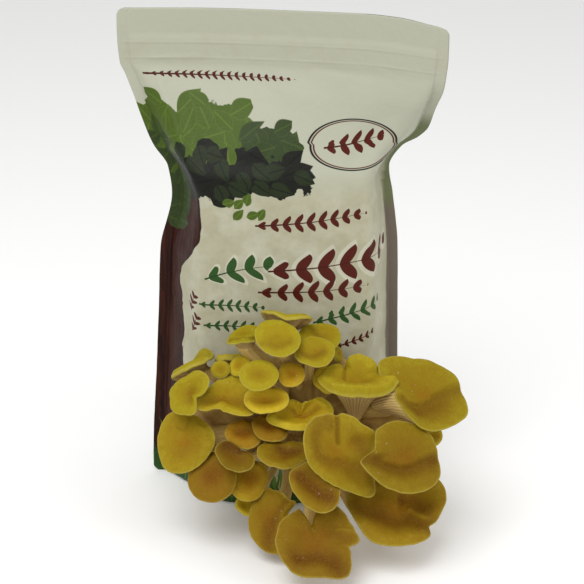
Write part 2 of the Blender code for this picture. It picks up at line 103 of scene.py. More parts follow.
def smooth_rows(heights: Array, values: Array, at: Array) -> Array:
    """Reads a smooth curve through values at rising heights, with no overshoot.

    Args:
        heights: Heights of the known values.
        values: The known values.
        at: Heights to read.

    Returns:
        The curve's values at those heights.
    """
    gap = np.diff(heights)
    rise = np.diff(values) / gap
    slope = np.zeros(len(values))
    level = rise[:-1] * rise[1:] > 0.0
    both = np.where(level, rise[:-1] * rise[1:], 1.0)
    total = np.where(level, rise[:-1] + rise[1:], 1.0)
    slope[1:-1] = np.where(level, 2.0 * both / total, 0.0)
    slope[0], slope[-1] = rise[0], rise[-1]
    index = np.clip(np.searchsorted(heights, at, side="right") - 1, 0, len(gap) - 1)
    t = (at - heights[index]) / gap[index]
    low, high = values[index], values[index + 1]
    left, right = slope[index] * gap[index], slope[index + 1] * gap[index]
    blend = t * t * (3.0 - 2.0 * t)
    bend = left * t * (1.0 - t) ** 2 - right * t * t * (1.0 - t)
    return low + (high - low) * blend + bend


def select_only(piece: bpy.types.Object) -> None:
    """Makes a piece the only selected object and the active one."""
    bpy.ops.object.select_all(action="DESELECT")
    piece.select_set(True)
    bpy.context.view_layer.objects.active = piece


def read_vertices(piece: bpy.types.Object) -> Array:
    """Reads a piece's vertices as rows of three."""
    flat = np.empty(len(piece.data.vertices) * 3)
    piece.data.vertices.foreach_get("co", flat)
    return flat.reshape(-1, 3)


def write_vertices(piece: bpy.types.Object, points: Array) -> None:
    """Writes vertices that are given in millimetres."""
    piece.data.vertices.foreach_set("co", (points * MM).ravel())
    piece.data.update()


def add_ball(name: str, segments: int, rings: int) -> bpy.types.Object:
    """Adds a sphere of radius 1 under a name."""
    bpy.ops.mesh.primitive_uv_sphere_add(segments=segments, ring_count=rings, radius=1)
    piece = bpy.context.object
    piece.name = piece.data.name = name
    return piece


def write_attribute(piece: bpy.types.Object, name: str, values: Array) -> None:
    """Stores a number or a vector for each vertex.

    Args:
        piece: The piece that gets the attribute.
        name: Name that the material reads it by.
        values: One number, or three, for each vertex.
    """
    kind, field_name = ("FLOAT", "value") if values.ndim == 1 else ("FLOAT_VECTOR", "vector")
    made = piece.data.attributes.new(name, kind, "POINT")
    made.data.foreach_set(field_name, values.ravel())


@contextmanager
def edit_mode() -> Iterator[None]:
    """Works in edit mode, and comes back to object mode."""
    bpy.ops.object.mode_set(mode="EDIT")
    yield
    bpy.ops.object.mode_set(mode="OBJECT")


def hand_over(
    piece: bpy.types.Object, finish: bpy.types.Material, slot: str, *nodes: str
) -> bpy.types.Object:
    """Turns a piece's faces outwards and dresses it, and lets it stand for its CAD nodes.

    Args:
        piece: The finished shape.
        finish: The piece's material.
        slot: A material slot's name; not used.
        nodes: CAD nodes that the piece stands for.

    Returns:
        The same piece.
    """
    select_only(piece)
    with edit_mode():
        bpy.ops.mesh.select_all(action="SELECT")
        bpy.ops.mesh.normals_make_consistent(inside=False)
    bpy.ops.object.shade_smooth()
    piece.data.materials.append(finish)
    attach(piece, BODY)
    if nodes:
        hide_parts(*nodes)
    LOG.info("%s: %d faces", piece.name, len(piece.data.polygons))
    return piece


def operator(operation: str, swapped: bool = False) -> Callable[["Signal", object], "Signal"]:
    """Makes an operator that adds a Math node.

    Args:
        operation: The Math node's operation.
        swapped: Whether the signal is the second of the two values.

    Returns:
        The operator's method.
    """

    def work(signal: "Signal", other: object) -> "Signal":
        """Works out the operation on the signal and the other value."""
        pair = (other, signal) if swapped else (signal, other)
        return signal.graph.math(operation, *pair)

    return work


class Signal:
    """What a shader socket gives. Operators on it add Math nodes, and | takes the larger value."""

    __add__ = operator("ADD")
    __sub__ = operator("SUBTRACT")
    __rsub__ = operator("SUBTRACT", swapped=True)
    __mul__ = operator("MULTIPLY")
    __truediv__ = operator("DIVIDE")
    __rtruediv__ = operator("DIVIDE", swapped=True)
    __pow__ = operator("POWER")
    __gt__ = operator("GREATER_THAN")
    __lt__ = operator("LESS_THAN")
    __or__ = operator("MAXIMUM")

    def __init__(self, graph: "Graph", socket: Socket) -> None:
        """Takes a socket of a graph."""
        self.graph, self.socket = graph, socket

    def __abs__(self) -> "Signal":
        """Gives the value without its sign."""
        return self.graph.math("ABSOLUTE", self)

    def clamped(self) -> "Signal":
        """Keeps the last operation's result from 0 to 1."""
        self.socket.node.use_clamp = True
        return self


class Graph:
    """Adds shader nodes to a tree and wires them."""

    def __init__(self, tree: bpy.types.NodeTree) -> None:
        """Starts on a tree."""
        self.tree = tree

    def feed(self, socket: Socket, value: object) -> None:
        """Links a signal to a socket, or sets the socket's own value."""
        if isinstance(value, Signal):
            self.tree.links.new(value.socket, socket)
        elif isinstance(value, tuple) and socket.type == "RGBA":
            socket.default_value = (*value, 1.0)
        else:
            socket.default_value = value

    def node(self, kind: str, inputs: Inputs | None = None, **settings: object) -> bpy.types.Node:
        """Adds a node.

        Args:
            kind: The node's kind.
            inputs: What feeds its inputs, by their names or numbers.
            settings: Its options.

        Returns:
            The node.
        """
        made = self.tree.nodes.new("ShaderNode" + kind)
        for name, value in settings.items():
            setattr(made, name, value)
        for name, value in (inputs or {}).items():
            self.feed(made.inputs[name], value)
        return made

    def read(self, node: bpy.types.Node, output: int | str = 0) -> Signal:
        """Takes one of a node's outputs."""
        return Signal(self, node.outputs[output])

    def math(self, operation: str, *values: object) -> Signal:
        """Works out an operation on numbers or signals."""
        return self.read(self.node("Math", dict(enumerate(values)), operation=operation))

    def vector(self, operation: str, first: Signal, second: Signal) -> Signal:
        """Works out an operation on vectors."""
        return self.read(self.node("VectorMath", {0: first, 1: second}, operation=operation))

    def turn(self, place: Signal, angle: Signal) -> Signal:
        """Turns places round the Z axis."""
        inputs = {"Vector": place, "Angle": angle}
        return self.read(self.node("VectorRotate", inputs, rotation_type="Z_AXIS"))

    def steps(self, value: Signal, low: float, high: float) -> Signal:
        """Rises from 0 at low to 1 at high along an S curve."""
        inputs = {"Value": value, "From Min": low, "From Max": high}
        return self.read(self.node("MapRange", inputs, interpolation_type="SMOOTHSTEP"))

    def mix(self, share: object, first: object, second: object) -> Signal:
        """Mixes two colours, with a share of the second over the first."""
        inputs = {0: share, 6: first, 7: second}
        return self.read(self.node("Mix", inputs, data_type="RGBA"), 2)

    def ramp(self, value: Signal, stops: tuple[tuple[float, Colour], ...]) -> Signal:
        """Turns a value into a colour by a row of stops."""
        made = self.node("ValToRGB", {0: value})
        elements = made.color_ramp.elements
        while len(elements) < len(stops):
            elements.new(0.5)
        for element, (place, colour) in zip(elements, stops):
            element.position = place
            element.color = (*colour, 1.0)
        return self.read(made)

    def cloud(self, place: Signal, scale: float, detail: float = 3.0) -> Signal:
        """Reads cloudy noise with lumps of about 1 / scale."""
        return self.read(self.node("TexNoise", {"Vector": place, "Scale": scale, "Detail": detail}))

    def combine(self, x: object, y: object, z: object) -> Signal:
        """Makes a vector of three numbers or signals."""
        return self.read(self.node("CombineXYZ", {0: x, 1: y, 2: z}))

    def split(self, vector: Signal) -> tuple[Signal, Signal, Signal]:
        """Takes a vector apart."""
        made = self.node("SeparateXYZ", {0: vector})
        return self.read(made, 0), self.read(made, 1), self.read(made, 2)

    def attribute(self, name: str, output: str = "Fac") -> Signal:
        """Reads an attribute of the piece."""
        return self.read(self.node("Attribute", attribute_name=name), output)

    def solid(self) -> Signal:
        """Reads places in the piece's own space, in metres."""
        return self.read(self.node("TexCoord"), "Object")


@dataclass
class NodeGroup:
    """A shader node group that several materials share, built when it is first placed.

    numbers are its inputs beside Place, which is a vector. wire builds its nodes.
    """

    name: str
    numbers: tuple[str, ...]
    outputs: tuple[str, ...]
    wire: Callable[[Graph, dict[str, Signal]], tuple[Signal, ...]]
    tree: bpy.types.NodeTree | None = None

    def build(self) -> bpy.types.NodeTree:
        """Makes the group's tree, with its named inputs and outputs."""
        tree = bpy.data.node_groups.new(self.name, "ShaderNodeTree")
        kinds = {"Place": "Vector"} | dict.fromkeys(self.numbers, "Float")
        for label, kind in kinds.items():
            tree.interface.new_socket(label, in_out="INPUT", socket_type="NodeSocket" + kind)
        for label in self.outputs:
            tree.interface.new_socket(label, in_out="OUTPUT", socket_type="NodeSocketFloat")
        g = Graph(tree)
        entry = tree.nodes.new("NodeGroupInput")
        end = tree.nodes.new("NodeGroupOutput")
        made = self.wire(g, {label: g.read(entry, label) for label in kinds})
        for label, signal in zip(self.outputs, made):
            g.feed(end.inputs[label], signal)
        return tree

    def place(self, g: Graph, **values: object) -> dict[str, Signal]:
        """Places the group in a graph.

        Args:
            g: The material's graph.
            values: What feeds its inputs, by their names with _ for a space.

        Returns:
            Its outputs by name.
        """
        self.tree = self.tree or self.build()
        inputs = {name.replace("_", " "): value for name, value in values.items()}
        made = g.node("Group", inputs, node_tree=self.tree)
        return {label: g.read(made, label) for label in self.outputs}


def wire_frond(g: Graph, put: dict[str, Signal]) -> tuple[Signal, ...]:
    """Draws a printed frond: paired leaflets along a bent stalk.

    Args:
        g: The group's graph.
        put: The group's inputs.

    Returns:
        The frond's mask and its fine lines.
    """
    moved = g.vector("SUBTRACT", put["Place"], g.combine(put["Root U"], put["Root V"], 0.0))
    x, y, _ = g.split(g.turn(moved, put["Angle"] * -1.0))
    reached = x / put["Length"]
    y = y - reached**2.0 * put["Bend"]
    off = abs(y)
    lean = x - off * put["Slant"]
    along = lean / put["Length"]
    kept = along * (1.0 - along)
    taper = (kept * 4.0 | 0.0001) ** 0.55
    row = lean / put["Pitch"]
    across = abs(g.math("FRACT", row) - 0.5) * 2.0
    out_share = off / (put["Reach"] * taper)
    square = 1.0 - out_share * out_share
    belly = out_share * 0.8 + 0.6
    width = square * belly * put["Fill"]
    inside = (width - across) * put["Pitch"]
    leaf = (inside * 2.0 + 0.5).clamped() * (kept > 0.0)
    thin = reached * -0.5 + 0.7
    stalk = ((thin - off) * 4.0).clamped() * (x > 0.0) * (reached < 0.97)
    outline = 1.0 - (inside * 1.1).clamped()
    rib = (1.0 - across * put["Pitch"] * 2.5).clamped()
    return leaf | stalk, (outline | rib) * leaf | stalk


def wire_leaves(g: Graph, put: dict[str, Signal]) -> tuple[Signal, ...]:
    """Draws scattered pointed leaves, one to a cell.

    Args:
        g: The group's graph.
        put: The group's inputs.

    Returns:
        The leaves' mask, their veins and outlines, and the cells' middles.
    """
    u, v, _ = g.split(put["Place"])
    shifted = g.combine(u + put["Seed"], v + put["Seed"], 0.0)
    inputs = {"Vector": shifted, "Scale": 1.0 / put["Cell"], "Randomness": 0.75}
    cells = g.node("TexVoronoi", inputs, voronoi_dimensions="2D")
    middle = g.read(cells, "Position")
    pick, size, _ = g.split(g.read(cells, "Color"))
    middle_u, middle_v, _ = g.split(middle)
    swing = (pick - 0.5) * put["Spread"]
    x, y, _ = g.split(g.turn(g.vector("SUBTRACT", shifted, middle), swing - put["Turn"]))
    along = x / ((size * 0.3 + 0.85) * put["Length"])
    round_off = 1.0 - along * along * 4.0
    belly = along * -0.9 + 1.0
    off = abs(y)
    inside = round_off * belly * put["Width"] - off
    mask = (inside * 2.0 + 0.5).clamped()
    vein = g.math("FRACT", (x - off) * 0.34) < 0.14
    rib = ((0.6 - off) * 3.0).clamped()
    outline = 1.0 - (inside * 1.3).clamped()
    line = rib | outline | vein * 0.45
    return mask, line * mask, middle_u - put["Seed"], middle_v - put["Seed"]


def wire_blades(g: Graph, put: dict[str, Signal]) -> tuple[Signal, ...]:
    """Draws a printed row of grass blades.

    Args:
        g: The group's graph.
        put: The group's inputs.

    Returns:
        The blades' mask and how far up its blade a point is.
    """
    u, v, _ = g.split(put["Place"])
    rise = v / put["Height"]
    bent = rise * rise * put["Lean"]
    row = (u + bent) / put["Pitch"] + put["Seed"]
    pick = g.read(g.node("TexWhiteNoise", {"W": g.math("FLOOR", row)}, noise_dimensions="1D"))
    tall = pick * 0.5 + 0.5
    inside = rise / tall * -0.55 + 0.55 - abs(g.math("FRACT", row) - 0.5)
    return (inside * (put["Pitch"] * 3.0)).clamped(), rise


def wire_fibres(g: Graph, put: dict[str, Signal]) -> tuple[Signal, ...]:
    """Draws long fine streaks, as in wood grain, stems and radial cap fibres.

    Args:
        g: The group's graph.
        put: The group's inputs.

    Returns:
        The streaks' value from 0 to 1.
    """
    x, y, z = g.split(put["Place"])
    place = g.combine(x * put["Across"], y * put["Across"], z * put["Along"])
    return (g.steps(g.cloud(place, 1.0, 4.0), 0.3, 0.7),)


def wire_flecks(g: Graph, put: dict[str, Signal]) -> tuple[Signal, ...]:
    """Draws small scattered specks.

    Args:
        g: The group's graph.
        put: The group's inputs.

    Returns:
        The specks' mask.
    """
    cells = g.node("TexVoronoi", {"Vector": put["Place"], "Scale": put["Scale"]})
    pick, size, _ = g.split(g.read(cells, "Color"))
    reach = (size * 0.7 + 0.3) * put["Size"]
    spot = ((reach - g.read(cells, "Distance")) * 30.0).clamped()
    return (spot * (pick < put["Share"]),)


FROND = NodeGroup(
    "frond",
    ("Root U", "Root V", "Angle", "Length", "Reach", "Pitch", "Slant", "Fill", "Bend"),
    ("Mask", "Line"), wire_frond,
)
LEAVES = NodeGroup(
    "leaves", ("Cell", "Length", "Width", "Seed", "Turn", "Spread"),
    ("Mask", "Line", "Middle U", "Middle V"), wire_leaves,
)
BLADES = NodeGroup("blades", ("Height", "Pitch", "Lean", "Seed"), ("Mask", "Rise"), wire_blades)
FIBRES = NodeGroup("fibres", ("Across", "Along"), ("Value",), wire_fibres)
FLECKS = NodeGroup("flecks", ("Scale", "Size", "Share"), ("Mask",), wire_flecks)


def new_material(name: str) -> tuple[bpy.types.Material, Graph, bpy.types.Node]:
    """Makes a material with nodes.

    Args:
        name: The material's name.

    Returns:
        The material, a graph on its tree and its Principled shader.
    """
    made = bpy.data.materials.new(name)
    made.use_nodes = True
    return made, Graph(made.node_tree), made.node_tree.nodes["Principled BSDF"]


def add_bump(g: Graph, shader: bpy.types.Node, height: Signal, depth: float) -> None:
    """Lets a height value roughen the shading, depth metres deep."""
    bump = g.node("Bump", {"Strength": 1.0, "Distance": depth, "Height": height})
    g.feed(shader.inputs["Normal"], g.read(bump))


class Ink(Enum):
    """Printing inks of the pouch: each is a fill and a line colour."""

    SPRING = (tint(68, 86, 29), tint(86, 106, 40))
    MEADOW = (tint(47, 60, 29), tint(64, 80, 36))
    MOSS = (tint(36, 44, 26), tint(20, 24, 18))
    NIGHT = (tint(25, 26, 21), tint(14, 15, 13))
    RUST = (tint(76, 26, 16), tint(58, 18, 12))
    HERB = (tint(44, 76, 32), tint(32, 58, 26))
    GRASS = (tint(70, 102, 36), tint(112, 142, 62))
    PALE = (tint(184, 182, 162), tint(176, 174, 154))


@dataclass(frozen=True)
class Frond:
    """One printed frond: where its stalk starts and runs on the flat film, and its leaflets."""

    root_u: float
    root_v: float
    angle: float
    length: float
    reach: float
    pitch: float
    ink: Ink
    fill: float = 0.95
    slant: float = 0.6
    bend: float = 0.0

    def print_on(self, g: Graph, film: Signal, place: Signal) -> Signal:
        """Prints the frond over a colour.

        Args:
            g: The material's graph.
            film: The colour below.
            place: Place on the flat film.

        Returns:
            The colour with the frond on it.
        """
        fill, line = self.ink.value
        frond = FROND.place(
            g, Place=place, Root_U=self.root_u, Root_V=self.root_v,
            Angle=math.radians(self.angle), Length=self.length, Reach=self.reach,
            Pitch=self.pitch, Slant=self.slant, Fill=self.fill, Bend=self.bend,
        )
        inked = g.mix(frond["Line"] * 0.7, fill, line)
        return g.mix(frond["Mask"], film, inked)


Patch = tuple[float, float, float, float]


def patch_mask(u: Signal, v: Signal, patches: tuple[Patch, ...], soft: float) -> Signal:
    """Tells what lies in any of some oval patches.

    Args:
        u: Place across the flat film.
        v: Place up the flat film.
        patches: The ovals' middles and half sizes.
        soft: How far their edges fade.

    Returns:
        A mask.
    """
    total = None
    for middle_u, middle_v, half_u, half_v in patches:
        across = (u - middle_u) / half_u
        up = (v - middle_v) / half_v
        off = across * across + up * up
        mask = ((1.0 - off) / soft).clamped()
        total = total | mask if total else mask
    return total


@dataclass(frozen=True)
class LeafLayer:
    """A layer of printed leaves: their size, lie and ink, and the patches that they fill."""

    ink: Ink
    patches: tuple[Patch, ...]
    cell: float
    length: float
    width: float
    seed: float
    turn: float
    spread: float = 90.0

    def print_on(self, g: Graph, film: Signal, place: Signal) -> Signal:
        """Prints the layer over a colour.

        Args:
            g: The material's graph.
            film: The colour below.
            place: Place on the flat film.

        Returns:
            The colour with the leaves on it.
        """
        leaves = LEAVES.place(
            g, Place=place, Cell=self.cell, Length=self.length, Width=self.width,
            Seed=self.seed, Turn=math.radians(self.turn), Spread=math.radians(self.spread),
        )
        kept = patch_mask(leaves["Middle U"], leaves["Middle V"], self.patches, 0.01)
        fill, line = self.ink.value
        inked = g.mix(leaves["Line"] * 0.75, fill, line)
        return g.mix(leaves["Mask"] * kept, film, inked)


LIGHT_CROWN = ((-44.0, 233.0, 34.0, 17.0), (-76.0, 226.0, 20.0, 24.0))
SIDE_CROWN = ((-84.0, 200.0, 22.0, 32.0), (-4.0, 226.0, 20.0, 11.0))
DARK_CROWN = ((-38.0, 210.0, 32.0, 16.0), (1.0, 208.0, 21.0, 12.0))

FOLIAGE = (
    LeafLayer(Ink.SPRING, LIGHT_CROWN, 15.0, 18.0, 5.6, 31.0, 60.0),
    LeafLayer(Ink.SPRING, LIGHT_CROWN, 14.0, 16.0, 4.6, 77.0, 110.0),
    LeafLayer(Ink.MEADOW, SIDE_CROWN, 14.0, 17.0, 5.2, 12.0, 80.0),
    LeafLayer(Ink.MEADOW, SIDE_CROWN, 13.0, 15.0, 4.6, 53.0, 20.0),
    LeafLayer(Ink.NIGHT, DARK_CROWN, 14.0, 17.0, 5.4, 8.0, 20.0),
    LeafLayer(Ink.MOSS, DARK_CROWN, 13.0, 15.0, 4.4, 41.0, -30.0),
    LeafLayer(Ink.SPRING, ((-20.0, 190.0, 11.0, 7.0),), 7.0, 9.0, 2.6, 19.0, 40.0),
)

UNDERLAY = (
    (Ink.SPRING, ((-44.0, 231.0, 32.0, 16.0), (-74.0, 226.0, 20.0, 22.0))),
    (Ink.MEADOW, ((-84.0, 200.0, 22.0, 30.0), (-4.0, 225.0, 17.0, 9.0))),
    (Ink.NIGHT, ((-38.0, 210.0, 33.0, 15.0), (1.0, 208.0, 20.0, 11.0))),
)

TRAILING_VINE = (
    Frond(-44, 146, 22, 46, 11, 11, Ink.PALE, fill=0.95, bend=-8),
    Frond(-44, 146, 22, 46, 9, 11, Ink.HERB, fill=0.72, bend=-8),
    Frond(-8, 152, 2, 90, 14, 13, Ink.PALE, fill=0.98, bend=10),
    Frond(-6, 152, 2, 86, 11, 13, Ink.RUST, fill=0.78, bend=10),
    Frond(-12, 139, -2, 66, 7, 9, Ink.RUST, fill=0.7, bend=6),
    Frond(-14, 180, 2, 66, 6, 7, Ink.RUST, fill=0.72, bend=5),
)

SMALL_SPRIGS = (
    Frond(-48, 130, 2, 40, 4.2, 5.2, Ink.HERB, fill=0.62, bend=-2),
    Frond(-46, 117, 2, 38, 4.2, 5.2, Ink.HERB, fill=0.62, bend=-2),
    Frond(-57, 124, 64, 13, 4.5, 4.2, Ink.RUST, fill=0.8),
    Frond(-56, 111, 64, 13, 4.5, 4.2, Ink.RUST, fill=0.8),
    Frond(20, 120, 10, 48, 6, 7, Ink.HERB, fill=0.66, bend=4),
    Frond(34, 104, 14, 28, 3, 4.4, Ink.RUST, fill=0.62, bend=3),
    Frond(-80, 262, -1, 90, 2.6, 4.4, Ink.RUST, fill=0.6),
)

GRASS_ROWS = (
    (44.0, 5.0, 6.0, 3.0, Ink.GRASS),
    (34.0, 4.0, -5.0, 11.0, Ink.SPRING),
    (24.0, 6.0, 4.0, 23.0, Ink.HERB),
)


@dataclass(frozen=True)
class FilmFinish:
    """Printed film: its plain colour, the printed bands and its sheen."""

    plain: Colour = tint(167, 168, 150)
    warm: Colour = tint(166, 163, 138)
    bright: Colour = tint(182, 181, 162)
    bark_dark: Colour = tint(28, 7, 2)
    bark_light: Colour = tint(62, 26, 12)
    smudge: Colour = tint(160, 150, 124)
    mauve: Colour = tint(112, 100, 90)
    side_green: Colour = tint(92, 102, 62)
    bark_edge: float = -69.0
    bark_top: float = 205.0
    bark_flare: float = 22.0
    bark_foot: float = 8.0
    oval_middle: tuple[float, float] = (44.0, 226.0)
    oval_half: tuple[float, float] = (26.0, 14.0)
    oval_lines: tuple[tuple[float, float, Ink], ...] = (
        (1.0, 0.035, Ink.NIGHT), (0.93, 0.028, Ink.RUST),
    )
    oval_sprig: Frond = Frond(26, 224, 4, 36, 6.5, 7.5, Ink.RUST, fill=0.75, bend=5)
    roughness: float = 0.42
    specular: float = 0.12
    crinkle: float = 0.0004

    def ground(self, g: Graph, place: Signal, solid: Signal) -> Signal:
        """Gives the bare film's colour, with the substrate's patches showing through.

        Args:
            g: The material's graph.
            place: Place on the flat film.
            solid: Place in space.

        Returns:
            The colour.
        """
        _, v, _ = g.split(place)
        patch = g.steps(g.cloud(solid, 70.0, 4.0), 0.42, 0.66)
        crumb = g.steps(g.cloud(solid, 260.0, 3.0), 0.35, 0.7)
        filled = 1.0 - g.steps(v, 190.0, 215.0)
        pale = patch * filled * 0.55
        colour = g.mix(filled, self.plain, self.warm)
        colour = g.mix(pale, colour, self.bright)
        shade = crumb * filled * 0.05
        colour = g.mix(shade, colour, self.bark_light)
        faded = 1.0 - g.steps(v, 282.0, 292.0)
        band = g.steps(v, 262.0, 270.0) * faded
        smudge = band * g.steps(g.cloud(solid, 90.0, 5.0), 0.5, 0.72)
        return g.mix(smudge * 0.22, colour, self.smudge)

    def bark(self, g: Graph, film: Signal, place: Signal) -> Signal:
        """Prints the brown wood-grain band along the left side.

        Args:
            g: The material's graph.
            film: The colour below.
            place: Place on the flat film.

        Returns:
            The colour with the band on it.
        """
        u, v, _ = g.split(place)
        sway = g.cloud(g.combine(0.0, v, 0.0), 0.06, 2.0) * 8.0 - 4.0
        flare = g.steps(v, 142.0, 172.0) * self.bark_flare
        foot = (1.0 - g.steps(v, 20.0, 80.0)) * self.bark_foot
        edge = flare + foot + (sway + self.bark_edge)
        warp = g.cloud(place, 0.03, 2.0) * 10.0
        grain = FIBRES.place(g, Place=g.combine(u + warp, 0.0, v), Across=0.32, Along=0.018)
        wood = g.mix(grain["Value"], self.bark_dark, self.bark_light)
        near_edge = g.steps(edge - u, 0.0, 3.0)
        wood = g.mix(1.0 - near_edge, wood, self.bark_dark)
        across = ((edge - u) * 2.0).clamped()
        below = ((self.bark_top - v) * 0.5).clamped()
        return g.mix(across * below, film, wood)

    def right_side(self, g: Graph, film: Signal, place: Signal) -> Signal:
        """Prints the soft green and mauve panel on the right side.

        Args:
            g: The material's graph.
            film: The colour below.
            place: Place on the flat film.

        Returns:
            The colour with the panel on it.
        """
        u, v, _ = g.split(place)
        strip = g.steps(u, 86.0, 90.0)
        low = 1.0 - g.steps(v, 176.0, 190.0)
        high = 1.0 - g.steps(v, 232.0, 246.0)
        colour = g.mix(strip * high * 0.85, film, self.side_green)
        return g.mix(strip * low * 0.95, colour, self.mauve)

    def grass(self, g: Graph, film: Signal, place: Signal) -> Signal:
        """Prints three rows of grass along the foot.

        Args:
            g: The material's graph.
            film: The colour below.
            place: Place on the flat film.

        Returns:
            The colour with the grass on it.
        """
        for height, pitch, lean, seed, ink in GRASS_ROWS:
            grass = BLADES.place(g, Place=place, Height=height, Pitch=pitch, Lean=lean, Seed=seed)
            film = g.mix(grass["Mask"], film, g.mix(grass["Rise"], *ink.value))
        return film

    def oval_frame(self, g: Graph, film: Signal, place: Signal) -> Signal:
        """Prints a plain oval frame with a double line.

        Args:
            g: The material's graph.
            film: The colour below.
            place: Place on the flat film.

        Returns:
            The colour with the frame on it.
        """
        u, v, _ = g.split(place)
        across = (u - self.oval_middle[0]) / self.oval_half[0]
        up = (v - self.oval_middle[1]) / self.oval_half[1]
        radius = g.math("SQRT", across**2.0 + up**2.0)
        for ring, width, ink in self.oval_lines:
            line = ((width - abs(radius - ring)) * 60.0).clamped()
            film = g.mix(line, film, ink.value[0])
        return self.oval_sprig.print_on(g, film, place)

    def material(self) -> bpy.types.Material:
        """Builds the film's material."""
        made, g, shader = new_material("printed_film")
        film_map = g.read(g.node("UVMap", uv_map="film"))
        solid = g.solid()
        colour = self.ground(g, film_map, solid)
        colour = self.right_side(g, colour, film_map)
        colour = self.bark(g, colour, film_map)
        colour = self.grass(g, colour, film_map)
        sway = g.cloud(film_map, 0.14, 2.0) * 12.0 - 6.0
        u, v, _ = g.split(film_map)
        for ink, patches in UNDERLAY:
            mask = patch_mask(u + sway, v - sway, patches, 0.06)
            colour = g.mix(mask, colour, ink.value[0])
        for print_item in FOLIAGE + TRAILING_VINE + SMALL_SPRIGS:
            colour = print_item.print_on(g, colour, film_map)
        colour = self.oval_frame(g, colour, film_map)
        g.feed(shader.inputs["Base Color"], colour)
        shader.inputs["Specular IOR Level"].default_value = self.specular
        rough = g.cloud(solid, 120.0) * 0.16 + (self.roughness - 0.08)
        g.feed(shader.inputs["Roughness"], rough)
        add_bump(g, shader, g.cloud(solid, 160.0, 4.0), self.crinkle)
        return made


@dataclass(frozen=True)
class Station:
    """One level of the pouch: where its seams and creases are, and how deep it is."""

    height: float
    left_seam: float
    left_crease: float
    right_crease: float
    right_seam: float
    front: float
    back: float


STATIONS = (
    Station(0.0, -79.5, -35.0, 25.0, 73.0, 44.0, 41.0),
    Station(3.5, -82.5, -36.0, 27.0, 76.0, 46.0, 43.0),
    Station(30.0, -81.5, -39.0, 34.0, 76.0, 44.5, 42.0),
    Station(70.0, -78.5, -45.0, 46.0, 75.0, 41.0, 39.0),
    Station(115.0, -75.5, -48.0, 56.0, 74.0, 38.0, 37.0),
    Station(155.0, -73.0, -48.0, 57.0, 73.0, 36.0, 35.0),
    Station(190.0, -65.0, -46.0, 56.0, 69.0, 35.0, 34.0),
    Station(206.0, -67.0, -50.0, 55.0, 66.5, 33.0, 31.0),
    Station(219.0, -75.0, -57.0, 62.0, 74.0, 26.0, 24.0),
    Station(225.0, -77.8, -59.8, 67.0, 83.5, 22.5, 20.7),
    Station(232.0, -80.5, -63.0, 73.0, 88.8, 18.5, 17.0),
    Station(249.0, -86.5, -71.0, 83.0, 92.3, 9.5, 9.0),
    Station(261.0, -91.0, -79.0, 87.0, 95.5, 3.6, 3.6),
    Station(268.0, -94.0, -86.0, 88.5, 96.5, 1.6, 1.6),
    Station(281.0, -95.0, -86.5, 89.5, 97.5, 1.6, 1.6),
    Station(286.0, -95.0, -86.5, 89.5, 97.5, 0.8, 0.8),
    Station(295.0, -95.0, -86.5, 89.5, 97.5, 0.8, 0.8),
    Station(300.0, -90.0, -82.0, 85.0, 92.5, 0.8, 0.8),
)


@dataclass(frozen=True)
class Fold:
    """A soft ridge or dent in the film, from one place on the flat film to another."""

    from_u: float
    from_v: float
    to_u: float
    to_v: float
    width: float
    height: float


FOLDS = (
    Fold(-72, 262, -50, 206, 2.2, 0.9),
    Fold(-60, 252, -44, 214, 4.0, -0.8),
    Fold(-30, 216, 20, 208, 7.0, -0.9),
    Fold(58, 206, 80, 240, 2.4, 0.8),
    Fold(40, 214, 66, 246, 6.0, -0.8),
    Fold(56, 158, 60, 196, 1.6, -0.9),
    Fold(54, 166, 57, 186, 1.2, 0.6),
    Fold(60, 120, 62, 158, 1.4, 0.5),
    Fold(-76, 271, -40, 272, 1.5, 0.3),
    Fold(20, 268, 70, 262, 3.0, -0.4),
    Fold(0, 255, 30, 250, 9.0, 0.5),
)


